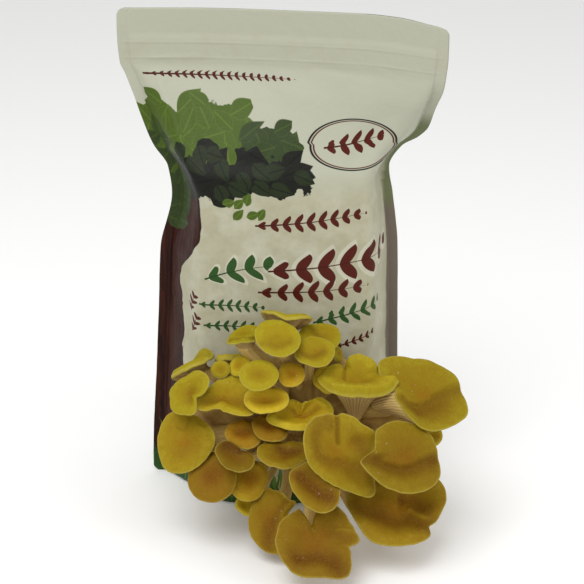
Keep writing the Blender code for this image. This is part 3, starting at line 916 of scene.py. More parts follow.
@dataclass
class Pouch:
    """The film pouch: a sealed tube of film that flattens into its top band.

    zip_line, seal_line and slit_lip are each a height and a half width. The height is in
    millimetres, and so is the half width, but the lip's is a share of the slit's half size.
    lumps are layers of noise, each a height, a grain and a seed.
    """

    seal_width: float = 6.0
    tip_half: float = 0.45
    root_half: float = 0.75
    corner: float = 9.0
    bulge: float = 2.5
    front_columns: tuple[int, ...] = (7, 22, 8, 72, 8, 22, 7)
    back_columns: tuple[int, ...] = (5, 14, 6, 38, 6, 14, 5)
    rows: tuple[tuple[float, float, int], ...] = (
        (0.0, 264.0, 206), (264.0, 286.0, 55), (286.0, 300.0, 14),
    )
    band_forward: float = 22.0
    band_back: float = 6.0
    band_bends_over: tuple[float, float] = (-60.0, 110.0)
    band_droop: float = 5.0
    droops_over: tuple[float, float] = (45.0, 110.0)
    corner_droop: float = 2.5
    corner_across: tuple[float, float] = (68.0, 97.5)
    corner_up: tuple[float, float] = (276.0, 300.0)
    band_from: tuple[float, float] = (215.0, 268.0)
    zip_heights: tuple[float, ...] = (280.0, 271.0)
    zip_line: tuple[float, float] = (0.32, 0.6)
    seal_line: tuple[float, float] = (0.25, 0.8)
    slit_lip: tuple[float, float] = (2.2, 0.22)
    slit_centre: tuple[float, float] = (18.0, 68.0)
    slit_half: tuple[float, float] = (15.0, 21.0)
    lumps: tuple[tuple[float, float, float], ...] = (
        (0.75, 26.0, 1.0), (0.5, 11.0, 2.0), (0.22, 4.5, 3.0),
    )
    slit_front: float = -20.0
    merge_reach: float = 0.00002
    open_ends: tuple[tuple[float, float], ...] = ((-1.0, 1e-6), (0.29, 1.0))
    finish: FilmFinish = FilmFinish()

    def levels(self, heights: Array) -> dict[str, Array]:
        """Reads all of the stations' values at heights, and rounds the top corners."""
        known = np.array([s.height for s in STATIONS])
        names = ("left_seam", "left_crease", "right_crease", "right_seam", "front", "back")
        level = {
            name: smooth_rows(known, np.array([getattr(s, name) for s in STATIONS]), heights)
            for name in names
        }
        corner, top = STATIONS[-2], STATIONS[-1]
        size = top.height - corner.height
        into = np.clip(heights - corner.height, 0.0, size)
        inset = size - np.sqrt(size**2 - into**2)
        above = heights > corner.height
        for name in ("left_seam", "left_crease", "right_seam", "right_crease"):
            sign = 1 if name.startswith("left") else -1
            level[name] = np.where(above, getattr(corner, name) + sign * inset, level[name])
        return level

    def half(self, level: dict[str, Array], depth: Array, counts: tuple[int, ...]) -> Array:
        """Lays one film from the left seam to the right one.

        Args:
            level: The stations' values, one for each row.
            depth: How far out the film stands in each row.
            counts: Columns in the seal, side, corner, face, corner, side and seal.

        Returns:
            Rows of columns of (x, outward depth).
        """
        tip = [np.stack([level[k], np.full_like(depth, self.tip_half)], -1) for k in
               ("left_seam", "right_seam")]
        root = [tip[0] + (self.seal_width, self.root_half - self.tip_half),
                tip[1] + (-self.seal_width, self.root_half - self.tip_half)]
        left = np.stack([np.maximum(level["left_crease"], root[0][:, 0] + 2.0), depth], -1)
        right = np.stack([np.minimum(level["right_crease"], root[1][:, 0] - 2.0), depth], -1)

        def towards(corner: Array, other: Array) -> Array:
            """Gives the way from a corner to where its rounding ends."""
            way = other - corner
            length = np.linalg.norm(way, axis=-1, keepdims=True)
            return way / length * np.minimum(self.corner, 0.45 * length)

        def run(start: Array, end: Array, count: int) -> Array:
            """Spaces points evenly from a start up to an end, without the end."""
            share = np.arange(count)[None, :, None] / count
            return start[:, None] + (end - start)[:, None] * share

        def rounding(corner: Array, before: Array, after: Array, count: int) -> Array:
            """Rounds a corner along a parabola."""
            share = np.arange(count)[None, :, None] / count
            back, ahead = towards(corner, before)[:, None], towards(corner, after)[:, None]
            return corner[:, None] + back * (1.0 - share) ** 2 + ahead * share**2

        parts = [run(tip[0], root[0], counts[0])]
        parts.append(run(root[0], left + towards(left, root[0]), counts[1]))
        parts.append(rounding(left, root[0], right, counts[2]))
        face = run(left + towards(left, right), right + towards(right, left), counts[3])
        swell = self.bulge * smooth_step(2.0, 25.0, depth)
        share = np.arange(counts[3]) / counts[3]
        face[:, :, 1] += swell[:, None] * np.sin(math.pi * share)[None, :]
        parts.append(face)
        parts.append(rounding(right, left, root[1], counts[4]))
        parts.append(run(right + towards(right, root[1]), root[1], counts[5]))
        parts.append(run(root[1], tip[1], counts[6]))
        return np.concatenate(parts + [tip[1][:, None]], axis=1)

    def lay_of_top(self, x: Array, y: Array, z: Array) -> Array:
        """Bends the flat top: its left end leans back, its right end curves forward."""
        weight = smooth_step(*self.band_from, z)
        right = smooth_step(*self.band_bends_over, x)
        lean = self.band_back * (1.0 - right) - self.band_forward * right
        droop = self.band_droop * smooth_step(*self.droops_over, x)
        corner = self.corner_droop * smooth_step(*self.corner_across, x)
        corner = corner * smooth_step(*self.corner_up, z)
        return np.stack([x, y + lean * weight, z - droop * weight - corner], -1)

    def folds(self, u: Array, v: Array) -> Array:
        """Adds up the film's folds at places on the flat film."""
        total = np.zeros_like(u)
        for fold in FOLDS:
            way = np.array([fold.to_u - fold.from_u, fold.to_v - fold.from_v])
            length = np.linalg.norm(way)
            way = way / length
            du, dv = u - fold.from_u, v - fold.from_v
            along = (du * way[0] + dv * way[1]) / length
            off = du * way[1] - dv * way[0]
            ends = smooth_step(-0.15, 0.2, along) * smooth_step(1.15, 0.8, along)
            total += fold.height * ends * hump(off, 0.0, fold.width)
        return total

    def off_slit(self, x: object, z: object) -> object:
        """Tells how far places lie from the slit's middle, as a share of its half size."""
        across = (x - self.slit_centre[0]) / self.slit_half[0]
        return np.hypot(across, (z - self.slit_centre[1]) / self.slit_half[1])

    def relief(self, points: Array, u: Array, v: Array, front: Array, from_seam: Array) -> Array:
        """Gives how far the film stands out of its plain form.

        Args:
            points: Places in space.
            u: Place across the flat film.
            v: Place up the flat film.
            front: 1 on the front film and 0 on the back one.
            from_seam: How far each place is from the nearer side seal's edge.

        Returns:
            Millimetres outwards for each point.
        """
        filled = smooth_step(6.0, 20.0, v) * smooth_step(214.0, 196.0, v)
        seal = smooth_step(self.seal_width + 1.0, self.seal_width + 9.0, from_seam)
        total = noise_layers(points, self.lumps) * filled * seal
        slack = smooth_step(196.0, 216.0, v) * smooth_step(268.0, 250.0, v)
        total += slack * seal * 0.9 * soft_noise(points * (1.0, 1.0, 0.45), 20.0, 4.0)
        total += 0.12 * soft_noise(points, 9.0, 6.0)
        total += front * self.folds(u, v)
        for height in self.zip_heights:
            inner = smooth_step(2.0, 4.0, from_seam)
            worn = 0.6 + 0.5 * soft_noise(points, 16.0, height)
            total += self.zip_line[0] * inner * worn * hump(v, height, self.zip_line[1])
        total -= self.seal_line[0] * hump(from_seam, self.seal_width, self.seal_line[1])
        slit = self.off_slit(points[..., 0], points[..., 2])
        return total + front * self.slit_lip[0] * hump(slit, 1.0, self.slit_lip[1])

    def surface(self) -> tuple[Array, Array]:
        """Works out the film's points and their places on the flat film.

        Returns:
            Points and (u, v) places, as rows of columns. The last column repeats the first.
        """
        heights = np.concatenate([
            np.linspace(start, end, count, endpoint=False) for start, end, count in self.rows
        ] + [[300.0]])
        level = self.levels(heights)
        front = self.half(level, level["front"], self.front_columns)
        back = self.half(level, level["back"], self.back_columns)[:, ::-1]
        x = np.concatenate([front[..., 0], back[:, 1:, 0]], axis=1)
        depth = np.concatenate([-front[..., 1], back[:, 1:, 1]], axis=1)
        z = np.repeat(heights[:, None], x.shape[1], axis=1)
        points = self.lay_of_top(x, depth, z)
        step = np.hypot(np.diff(x, axis=1), np.diff(depth, axis=1))
        run = np.concatenate([np.zeros((len(x), 1)), np.cumsum(step, axis=1)], axis=1)
        seam = front.shape[1] - 1
        mid = np.argmin(np.abs(x[:, : seam + 1]), axis=1)
        u = run - run[np.arange(len(x)), mid][:, None]
        from_seam = np.minimum(run, np.abs(run - run[:, seam : seam + 1]))
        from_seam = np.minimum(from_seam, run[:, -1:] - run)
        is_front = np.zeros_like(x)
        is_front[:, : seam + 1] = 1.0
        down = np.gradient(points, axis=0)
        side = np.gradient(points, axis=1)
        side[:, 0] = side[:, -1] = points[:, 1] - points[:, -2]
        out = self.relief(points, u, z, is_front, from_seam)
        out[0] = 0.0
        out[:, -1] = out[:, 0]
        points = points + unit(np.cross(side, down)) * out[..., None]
        points[..., 2] = np.clip(points[..., 2], 0.0, None)
        return points, np.stack([u, z], -1)

    def build(self) -> bpy.types.Object:
        """Rolls a fine grid into the pouch, closes it, opens its slit and dresses it."""
        points, places = self.surface()
        rows, columns = points.shape[0] - 1, points.shape[1] - 1
        bpy.ops.mesh.primitive_grid_add(x_subdivisions=columns, y_subdivisions=rows, size=2.0)
        piece = bpy.context.object
        piece.name = piece.data.name = "film_pouch"
        flat = read_vertices(piece)
        column = np.rint((flat[:, 0] + 1.0) / 2.0 * columns).astype(int)
        row = np.rint((flat[:, 1] + 1.0) / 2.0 * rows).astype(int)
        write_vertices(piece, points[row, column])
        film_map = piece.data.uv_layers[0]
        film_map.name = "film"
        corner = np.empty(len(piece.data.loops), dtype=np.int32)
        piece.data.loops.foreach_get("vertex_index", corner)
        film_map.data.foreach_set("uv", places[row[corner], column[corner]].ravel())
        self.close(piece)
        self.open_slit(piece)
        return hand_over(piece, self.finish.material(), "pouch_film", "pouch")

    def close(self, piece: bpy.types.Object) -> None:
        """Joins the rolled grid's edges, and fills its foot and its top."""
        select_only(piece)
        with edit_mode():
            bpy.ops.mesh.select_all(action="SELECT")
            bpy.ops.mesh.remove_doubles(threshold=self.merge_reach)
            bpy.ops.mesh.select_all(action="DESELECT")
        for low, high in self.open_ends:
            keys = np.empty(len(piece.data.loops), dtype=np.int32)
            piece.data.loops.foreach_get("edge_index", keys)
            for edge, count in zip(piece.data.edges, np.bincount(keys).tolist()):
                ends = [piece.data.vertices[k].co.z for k in edge.vertices]
                edge.select = count == 1 and all(low <= z <= high for z in ends)
            with edit_mode():
                bpy.ops.mesh.select_mode(type="EDGE")
                bpy.ops.mesh.edge_face_add()
                bpy.ops.mesh.select_mode(type="VERT")
                bpy.ops.mesh.select_all(action="DESELECT")

    def open_slit(self, piece: bpy.types.Object) -> None:
        """Cuts the slit out of the front film."""
        for face in piece.data.polygons:
            centre = face.center / MM
            cut = self.off_slit(centre.x, centre.z) < 1.0
            face.select = bool(cut) and centre.y < self.slit_front
        with edit_mode():
            bpy.ops.mesh.select_mode(type="FACE")
            bpy.ops.mesh.delete(type="FACE")


@dataclass(frozen=True)
class CapFinish:
    """Mushroom flesh: cap, gill and stem colours, with painted shade and painted highlights along
    the caps' grooves and painted light on each cap.
    """

    centre: Colour = tint(130, 91, 7)
    middle: Colour = tint(133, 107, 11)
    outer: Colour = tint(137, 113, 14)
    rim: Colour = tint(145, 126, 23)
    # Dark brown for the grooves' stain and painted shade, and for the fine fibre lines.
    valley_stain_and_shade: Colour = tint(97, 61, 4)
    edge: Colour = tint(184, 170, 88)
    fuzz: Colour = tint(188, 182, 144)
    gill_light: Colour = tint(198, 172, 112)
    gill_dark: Colour = tint(140, 110, 58)
    stem_light: Colour = tint(206, 178, 108)
    stem_dark: Colour = tint(166, 135, 74)
    knot_light: Colour = tint(176, 144, 78)
    knot_dark: Colour = tint(128, 98, 48)
    tone_gain: tuple[float, float, float] = (0.17, 0.27, 0.12)
    # Per channel, how strongly painted light and painted shade act on the cap's colour.
    painted_light_gain: tuple[float, float, float] = (1.0, 1.0, 1.9)
    tone_shift: float = 0.14
    roughness: float = 0.7
    specular: float = 0.12
    grain: float = 0.00022

    def cap_colour(self, g: Graph, polar: Signal, solid: Signal) -> Signal:
        """Colours the cap's top from its centre to its rim.

        Args:
            g: The material's graph.
            polar: Place on the flat cap, 1 at its rim.
            solid: Place in space.

        Returns:
            The colour.
        """
        x, y, _ = g.split(polar)
        reach = g.math("SQRT", x * x + y * y)
        safe = reach | 0.02
        around = g.combine(x / safe, y / safe, reach)
        fibre = FIBRES.place(g, Place=around, Across=11.0, Along=1.6)["Value"]
        mottle = g.cloud(solid, 170.0, 5.0)
        shift = mottle * 0.8 - 0.52
        shift = g.cloud(solid, 620.0, 3.0) * 0.24 + shift
        place = reach + shift + fibre * 0.03
        place = g.attribute("tone") * self.tone_shift + place
        colour = g.ramp(place, (
            (0.05, self.centre), (0.45, self.middle), (0.78, self.outer), (1.0, self.rim),
        ))
        # Darkens the flesh along the grooves: partly its own orange-brown stain, partly painted
        # shade in the dents.
        valley_stain_and_shade = g.attribute("valley_stain_and_shade")
        colour = g.mix((valley_stain_and_shade * 0.85).clamped(), colour, self.valley_stain_and_shade)
        # Painted highlight on the ridges, where a groove's value is below zero.
        painted_highlight = (valley_stain_and_shade * -1.0).clamped()
        colour = g.mix(painted_highlight, colour, self.rim)
        fine = (1.0 - fibre) * reach * 0.1
        colour = g.mix(fine, colour, self.valley_stain_and_shade)
        grain = g.steps(g.cloud(solid, 900.0, 3.0), 0.35, 0.75)
        colour = g.mix(grain * 0.26, colour, self.rim)
        dashes = FIBRES.place(g, Place=around, Across=42.0, Along=9.0)["Value"]
        colour = g.mix(g.steps(dashes, 0.45, 0.8) * 0.3, colour, self.centre)
        warped = g.mix(0.004, solid, g.cloud(solid, 500.0))
        speck = FLECKS.place(g, Place=warped, Scale=620.0, Size=0.24, Share=0.06)
        colour = g.mix(speck["Mask"] * 0.55, colour, self.fuzz)
        tuft = FLECKS.place(g, Place=warped, Scale=820.0, Size=0.34, Share=0.26)
        where = g.steps(g.cloud(solid, 52.0, 2.0), 0.64, 0.7) * g.steps(reach, 0.5, 0.9)
        return g.mix(tuft["Mask"] * where * 0.6, colour, self.fuzz)

    def under_colour(self, g: Graph, polar: Signal, solid: Signal) -> Signal:
        """Colours gills and stem: lines down the gills that turn to streaks on the stem.

        Args:
            g: The material's graph.
            polar: Direction round the stem, and how far along it.
            solid: Place in space.

        Returns:
            The colour.
        """
        x, y, _ = g.split(polar)
        fine = g.math("SINE", g.math("ARCTAN2", y, x) * 132.0)
        gill = fine * 0.25 + (g.attribute("gill") * 0.5 + 0.25)
        gills = g.mix(gill, self.gill_dark, self.gill_light)
        streak = FIBRES.place(g, Place=polar, Across=6.0, Along=0.7)["Value"]
        streak = streak * 0.55 + g.cloud(solid, 90.0, 3.0) * 0.45
        stem = g.mix(streak, self.stem_dark, self.stem_light)
        patch = g.steps(g.cloud(solid, 160.0, 5.0), 0.3, 0.7)
        knot = g.mix(patch * 0.6 + streak * 0.4, self.knot_dark, self.knot_light)
        zone = g.attribute("zone")
        stem = g.mix(g.steps(zone, 2.5, 3.9), stem, knot)
        return g.mix(g.steps(zone, 1.6, 2.2), gills, stem)

    def material(self) -> bpy.types.Material:
        """Builds the flesh of caps, gills and stems."""
        made, g, shader = new_material("oyster_flesh")
        polar = g.attribute("polar", "Vector")
        solid = g.solid()
        zone = g.attribute("zone")
        cap = self.cap_colour(g, polar, solid)
        under = self.under_colour(g, polar, solid)
        tone = g.attribute("tone")
        light = g.attribute("light")
        # tone sets each cap's own hue, and light multiplies in painted light, below zero painted
        # shade.
        shade = g.combine(*(
            (light * share + 1.0) * (tone * gain + 1.0)
            for share, gain in zip(self.painted_light_gain, self.tone_gain)
        ))
        cap = g.vector("MULTIPLY", cap, shade)
        colour = g.mix(g.steps(zone, 0.8, 1.02), cap, under)
        rim_line = g.steps(zone, -0.3, 0.25) * (zone < 1.05)
        uneven = g.steps(g.cloud(solid, 220.0, 3.0), 0.15, 0.5)
        rim_line = rim_line * (uneven * 0.28 + 0.06)
        colour = g.mix(rim_line, colour, self.edge)
        g.feed(shader.inputs["Base Color"], colour)
        rough = g.cloud(solid, 300.0) * 0.2 + (self.roughness - 0.1)
        g.feed(shader.inputs["Roughness"], rough)
        shader.inputs["Specular IOR Level"].default_value = self.specular
        add_bump(g, shader, g.cloud(solid, 420.0, 4.0) + g.attribute("gill"), self.grain)
        return made


@dataclass(frozen=True)
class Groove:
    """A soft dent along a line on a cap, or a ridge where its depth is below zero.

    The line's places are shares of the way from the cap's middle to its rim, across and up.
    The fourth value is how much darker the flesh is painted there: partly its own orange-brown
    stain and partly painted shade in the dent, and below zero a painted highlight on the ridge.
    width is the dent's half width as a share.
    fade widens it towards the rim.
    """

    line: tuple[tuple[float, float], ...]
    width: float
    depth: float
    # Stain with painted shade in the dent, and below zero a painted highlight on the ridge.
    stain_and_shade: float = 0.8
    fade: float = 0.0

    def weight(self, across: Array, up: Array) -> Array:
        """Is 1 on the groove's line and falls away from it.

        Args:
            across: Places across the flat cap.
            up: Places up the flat cap.

        Returns:
            One weight for each place.
        """
        nearest = np.full(across.shape, 1e9)
        outside = np.zeros(across.shape)
        reach = np.hypot(across, up)
        ends = self.line if len(self.line) > 1 else self.line * 2
        for (ax, ay), (bx, by) in zip(ends, ends[1:]):
            dx, dy = bx - ax, by - ay
            length = max(dx * dx + dy * dy, 1e-9)
            t = np.clip(((across - ax) * dx + (up - ay) * dy) / length, 0.0, 1.0)
            near_x, near_y = ax + t * dx, ay + t * dy
            off = (across - near_x) ** 2 + (up - near_y) ** 2
            outside = np.where(off < nearest, reach - np.hypot(near_x, near_y), outside)
            nearest = np.minimum(nearest, off)
        width = self.width * (1.0 + self.fade * smooth_step(-0.1, 0.1, outside))
        return np.exp(-nearest / width**2)


@dataclass
class StemBase:
    """The knot of fused stems, and the neck that joins it to the substrate.

    lumps are each a place, a half width and a height. knots are layers of noise, each a height,
    a grain and a seed. foot_depth is how far the mushrooms' stems go into the knot.
    """

    radii: tuple[float, float, float] = (46.0, 26.0, 33.0)
    centre: tuple[float, float, float] = (18.0, -47.0, 68.0)
    neck_half: tuple[float, float] = (13.5, 18.9)
    neck_back: float = -40.5
    segments: int = 144
    rings: int = 90
    neck_from: float = 0.9
    neck_blend: float = 0.05
    foot_depth: float = 2.5
    lumps: tuple[tuple[float, ...], ...] = (
        (60.0, -56.0, 73.0, 18.0, 14.0), (67.0, -54.0, 64.0, 15.0, 15.0),
        (-27.0, -50.0, 66.0, 17.0, 22.0), (-14.0, -52.0, 92.0, 14.0, 9.0),
        (30.0, -66.0, 92.0, 15.0, 7.0), (5.0, -72.0, 62.0, 16.0, 6.0),
        (40.0, -72.0, 58.0, 16.0, 7.0),
    )
    knots: tuple[tuple[float, float, float], ...] = ((3.4, 15.0, 5.0), (1.5, 6.5, 6.0))
    bundles: int = 17

    def build(self, flesh: bpy.types.Material) -> bpy.types.Object:
        """Shapes the knot from a sphere.

        Args:
            flesh: The flesh's material.

        Returns:
            The finished knot.
        """
        piece = add_ball("fused_stems", self.segments, self.rings)
        ball = read_vertices(piece)
        angle = np.arctan2(ball[:, 1], ball[:, 0])
        share = np.arccos(np.clip(ball[:, 2], -1.0, 1.0)) / math.pi
        swell = np.clip(share / self.neck_from, 0.0, 1.0) * (math.pi / 2.0)
        wide = np.sin(swell)
        ball_way = np.stack([wide * np.cos(angle), -np.cos(swell), wide * np.sin(angle)], -1)
        points = np.array(self.centre) + ball_way * np.array(self.radii)
        neck = smooth_step(self.neck_from, self.neck_from + self.neck_blend, share)
        tube = np.clip((1.0 - share) / (1.0 - self.neck_from - self.neck_blend), 0.0, 1.0)
        ring = np.stack([
            self.centre[0] + self.neck_half[0] * tube * np.cos(angle),
            np.full_like(angle, self.neck_back),
            self.centre[2] + self.neck_half[1] * tube * np.sin(angle),
        ], -1)
        bundle = np.sin(self.bundles * angle + 3.0 * soft_noise(points, 22.0, 7.0))
        lump = noise_layers(points, self.knots) + 1.6 * bundle * smooth_step(0.12, 0.45, share)
        outward = unit(ball_way * (1.0 / np.array(self.radii)))
        for x, y, z, size, height in self.lumps:
            off = np.linalg.norm(points - (x, y, z), axis=-1)
            lump = lump + height * hump(off, 0.0, size)
        points = points + outward * (lump * (1.0 - neck) * smooth_step(0.0, 0.1, share))[:, None]
        points = points + (ring - points) * neck[:, None]
        write_vertices(piece, points)
        write_attribute(piece, "polar", np.stack([np.cos(angle), np.sin(angle), share * 2.0], -1))
        # The knot gets no groove stain or painted shade, and no painted light.
        plain = {"zone": 4.0, "gill": 0.5, "valley_stain_and_shade": 0.0, "tone": 0.0, "light": 0.0}
        for name, value in plain.items():
            write_attribute(piece, name, np.full(len(points), value))
        return hand_over(piece, flesh, "stem_flesh", "fused_stem_base")


RIM_WAVES = ((3, 0.15), (5, 0.15), (8, 0.14), (13, 0.1))
LARGE_CAP = 16.0
DEEP_GILLS_FROM = 12.0
LARGE_RINGS = (30, 5, 22, 22)
SMALL_RINGS = (20, 4, 16, 14)


@dataclass
class Mushroom:
    """One mushroom: its cap's place, lie and form in millimetres and degrees, and its stem.

    facing is how far the cap's top turns to the right of straight ahead, and tilt how far it
    turns from straight ahead up to the sky. rim and lift are the rim's distance from the cap's
    middle and its height over the plain cap, at even steps round the cap from its right side.
    curl is how far the rim turns down, from the share curl_from outwards and most at the angle
    curl_at. cone is how far the gills run on down the stem as a trumpet, from 0 to 1. tone is how
    yellow the cap is, or below zero how orange. light is painted light: how much brighter the cap
    is coloured than the others, and below zero painted shade.
    crease is an angle, a half width and a depth. stem_at is where the stem meets the cap, as an
    angle and a share of the radius, and root moves its foot across and up the fused base. drop is
    how far the gills run down to the stem, and bead the rolled rim's share of the thickness.
    phase sets the mushroom's own small waves.
    """

    name: str
    centre: tuple[float, float, float]
    facing: float
    tilt: float
    rim: tuple[float, ...]
    lift: tuple[float, ...] = (0,)
    cup: float = 0.0
    curl: float = 1.0
    curl_from: float = 0.62
    curl_at: float | None = None
    cone: float = 0.0
    dimple: float = 0.8
    crease: tuple[float, ...] = ()
    thickness: float = 2.2
    stem_at: tuple[float, float] = (90, 0.15)
    stem_radius: float = 3.2
    root: tuple[float, float] = (0, 0)
    drop: float = 4.0
    bead: float = 0.45
    gills: int = 44
    tone: float = 0.0
    light: float = 0.0
    phase: float = 0.0

    def frame(self) -> tuple[Array, Array, Array]:
        """Gives the cap's own axes: across it, up it, and out of its top."""
        facing, tilt = math.radians(self.facing), math.radians(self.tilt)
        normal = np.array([
            math.sin(facing) * math.cos(tilt), -math.cos(facing) * math.cos(tilt), math.sin(tilt)
        ])
        across = np.array([math.cos(facing), math.sin(facing), 0.0])
        return across, np.cross(normal, across), normal

    def round_the_cap(self, values: tuple[float, ...], angle: Array) -> Array:
        """Reads a smooth curve through values at even steps round the cap."""
        known = np.array(values, dtype=float)
        place = angle / (2.0 * math.pi) * len(known) % len(known)
        index = np.floor(place).astype(int)
        share = place - index
        a, b, c, d = (known[(index + k) % len(known)] for k in (-1, 0, 1, 2))
        slope = 0.5 * (c - a)
        square = a - 2.5 * b + 2.0 * c - 0.5 * d
        cube = 0.5 * (d - a) + 1.5 * (b - c)
        return b + share * (slope + share * (square + share * cube))

    def off_angle(self, angle: Array, at: float) -> Array:
        """Gives how many degrees an angle lies from another, from -180 to 180."""
        return (np.degrees(angle) - at + 180.0) % 360.0 - 180.0

    def dents(self, share: Array, angle: Array) -> tuple[Array, Array]:
        """Adds up how deep the cap's grooves are, and how dark.

        Args:
            share: Shares of the way to the rim.
            angle: Angles round the cap.

        Returns:
            Depths in millimetres, and how dark each place is painted: stain with painted shade, and
            below zero painted highlight.
        """
        deep, dark = np.zeros_like(angle), np.zeros_like(angle)
        across, up = share * np.cos(angle), share * np.sin(angle)
        for groove in GROOVES.get(self.name, ()):
            weight = groove.weight(across, up)
            deep += groove.depth * weight
            # Stain and painted shade in the dents; below zero painted highlight on the ridges.
            dark += groove.stain_and_shade * weight
        if self.crease:
            at, half_width, depth = self.crease
            cut = hump(self.off_angle(angle, at), 0.0, half_width)
            deep += depth * smooth_step(0.1, 0.6, share) * cut
        return deep, dark

    def waves(self, share: Array, angle: Array) -> Array:
        """Gives the rim's small waves, which fade out towards the middle."""
        total = np.zeros_like(angle)
        for count, size in RIM_WAVES:
            total += size * np.sin(count * angle + self.phase * count * 1.7)
        return total * share**3

    def height(self, share: Array, angle: Array) -> Array:
        """Gives how far the cap's top stands above its middle."""
        height = (self.cup + self.round_the_cap(self.lift, angle)) * share**2
        height -= self.dimple * hump(share, 0.0, 0.35)
        curl = self.curl
        if self.curl_at is not None:
            curl = curl * (0.5 + 0.5 * np.cos(angle - math.radians(self.curl_at)))
        height -= curl * smooth_step(self.curl_from, 1.0, share) ** 2
        scale = min(1.0, max(self.rim) / LARGE_CAP)
        return height - self.dents(share, angle)[0] + scale * self.waves(share, angle)

    def cap_points(self, share: Array, angle: Array, depth: Array) -> Array:
        """Gives points of the cap, depth millimetres under its top."""
        across, up, normal = self.frame()
        ragged = 1.0 + 0.003 * np.sin(9 * angle + self.phase) + 0.003 * np.sin(19 * angle)
        reach = (share * self.round_the_cap(self.rim, angle) * ragged)[..., None]
        out = across * np.cos(angle)[..., None] + up * np.sin(angle)[..., None]
        high = (self.height(share, angle) - depth)[..., None]
        return np.array(self.centre) + out * reach + normal * high

    def stem_line(self, base: StemBase, share: Array) -> tuple[Array, Array]:
        """Gives points along the stem's curve, from the cap to the fused base.

        Args:
            base: The fused base that the stem grows from.
            share: How far along the stem each point is.

        Returns:
            The points and the stem's direction there.
        """
        at = np.array([math.radians(self.stem_at[0])])
        normal = self.frame()[2]
        top = self.cap_points(np.array([self.stem_at[1]]), at, self.thickness + self.drop)[0]
        centre, radii = np.array(base.centre), np.array(base.radii)
        towards = top + (self.root[0], 0.0, self.root[1]) - centre
        towards[1] = min(towards[1], -3.0)
        ball_way = towards / radii
        ball_way /= np.linalg.norm(ball_way)
        outward = ball_way / radii
        outward /= np.linalg.norm(outward)
        foot = centre + ball_way * radii - outward * base.foot_depth
        length = np.linalg.norm(foot - top)
        near, far = top - normal * length * 0.22, foot + outward * length * 0.4
        t = share[:, None]
        rest = 1.0 - t
        point = top * rest**3 + near * 3 * rest**2 * t + far * 3 * rest * t**2 + foot * t**3
        slope = (near - top) * rest**2 + (far - near) * 2 * rest * t + (foot - far) * t**2
        return point, unit(slope)

    def stem_points(self, base: StemBase, share: Array, angle: Array) -> Array:
        """Gives rings of points round the stem.

        Args:
            base: The fused base that the stem grows from.
            share: How far along the stem each ring is.
            angle: The angles round each ring.

        Returns:
            Rings of points.
        """
        line, along = self.stem_line(base, share)
        across = self.frame()[0]
        side = unit(across - along * (along @ across)[:, None])
        other = np.cross(along, side)
        flare = 1.2 - 0.3 * np.sin(math.pi * share) + 0.35 * smooth_step(0.8, 1.0, share)
        turn = angle[None, :] + self.phase
        ribs = 1.0 + 0.05 * np.sin(3 * turn + 2.0 * share[:, None]) + 0.025 * np.sin(9 * turn)
        radius = (self.stem_radius * flare)[:, None] * ribs
        cosine, sine = np.cos(angle)[None, :, None], np.sin(angle)[None, :, None]
        ring = side[:, None] * cosine - other[:, None] * sine
        return line[:, None] + ring * radius[..., None]

    def surface(
        self, base: StemBase, columns: int, counts: tuple[int, int, int, int]
    ) -> dict[str, Array]:
        """Works out rings from the cap's middle over its rim and gills down to the stem's foot.

        Args:
            base: The fused base that the stem grows from.
            columns: Points in a ring.
            counts: Rings on the top, rim, gills and stem.

        Returns:
            Points, flat places, zones, gill lines and the grooves' stain with painted shade, each
            as rings.
        """
        angle = np.arange(columns) * (2.0 * math.pi / columns)
        top_count, rim_count, gill_count, stem_count = counts
        bead = self.thickness * self.bead
        reach = float(np.mean(self.rim))
        inset = 0.5 * bead / reach
        shares = np.linspace(0.0, 1.0, top_count + 1)
        top_share = shares * (1.0 - inset)
        roll = np.linspace(0.0, math.pi, rim_count + 2)[1:-1]
        rim_share = 1.0 - inset * (1.0 - np.sin(roll))
        rim_depth = 0.5 * bead * (1.0 - np.cos(roll))
        w = np.linspace(0.0, 1.0, gill_count + 1)[1:]
        under_share = (1.0 - w) * (1.0 - inset)
        under_depth = bead + (self.thickness - bead) * w + self.drop * w**2
        rings = []
        for share, depth in ((top_share, 0.0 * top_share), (rim_share, rim_depth)):
            grid, around = np.meshgrid(share, angle, indexing="ij")
            rings.append(self.cap_points(grid, around, depth[:, None] + 0.0 * grid))
        grid, around = np.meshgrid(under_share, angle, indexing="ij")
        lined = np.cos(self.gills * around)
        fade = smooth_step(0.0, 0.12, w) * smooth_step(1.15, 0.6, w)
        cut = (0.5 * lined * fade[:, None]) * min(1.0, reach / DEEP_GILLS_FROM)
        under = self.cap_points(grid, around, under_depth[:, None] + cut)
        neck = self.stem_points(base, np.array([0.0]), angle)
        pull = smooth_step(0.3, 1.0, w)[:, None, None]
        stem_top = self.stem_line(base, np.array([0.0]))[0]
        under = under + (stem_top - under) * (0.25 * w[:, None, None] * (1.0 - pull))
        under = under + (neck - under) * pull
        low = self.cap_points(np.full(columns, 1.0 - inset), angle, np.full(columns, bead))[None]
        normal = self.frame()[2]
        down = ((neck - low) @ normal)[..., None] * normal
        inward = neck - low - down
        slant = w[:, None, None]
        trumpet = low + inward * slant**0.68 + down * slant**1.15 - normal * cut[..., None]
        rings.append(under + (trumpet - under) * self.cone)
        stem_share = np.linspace(0.0, 1.0, stem_count + 1)[1:]
        rings.append(self.stem_points(base, stem_share, angle))
        spread = [np.broadcast_to(v[:, None], (len(v), columns)) for v in (
            np.concatenate([shares, 1.0 + 0.0 * roll, 1.0 - w * 0.0, 1.0 + 0.0 * stem_share]),
            np.concatenate([0.0 * shares, 0.0 * roll, w, 1.0 + 3.0 * stem_share]),
            np.concatenate([
                (shares - 1.0) * reach, 0.5 - 0.5 * np.cos(roll), 1.0 + 0.8 * w, 2.2 + stem_share
            ]),
        )]
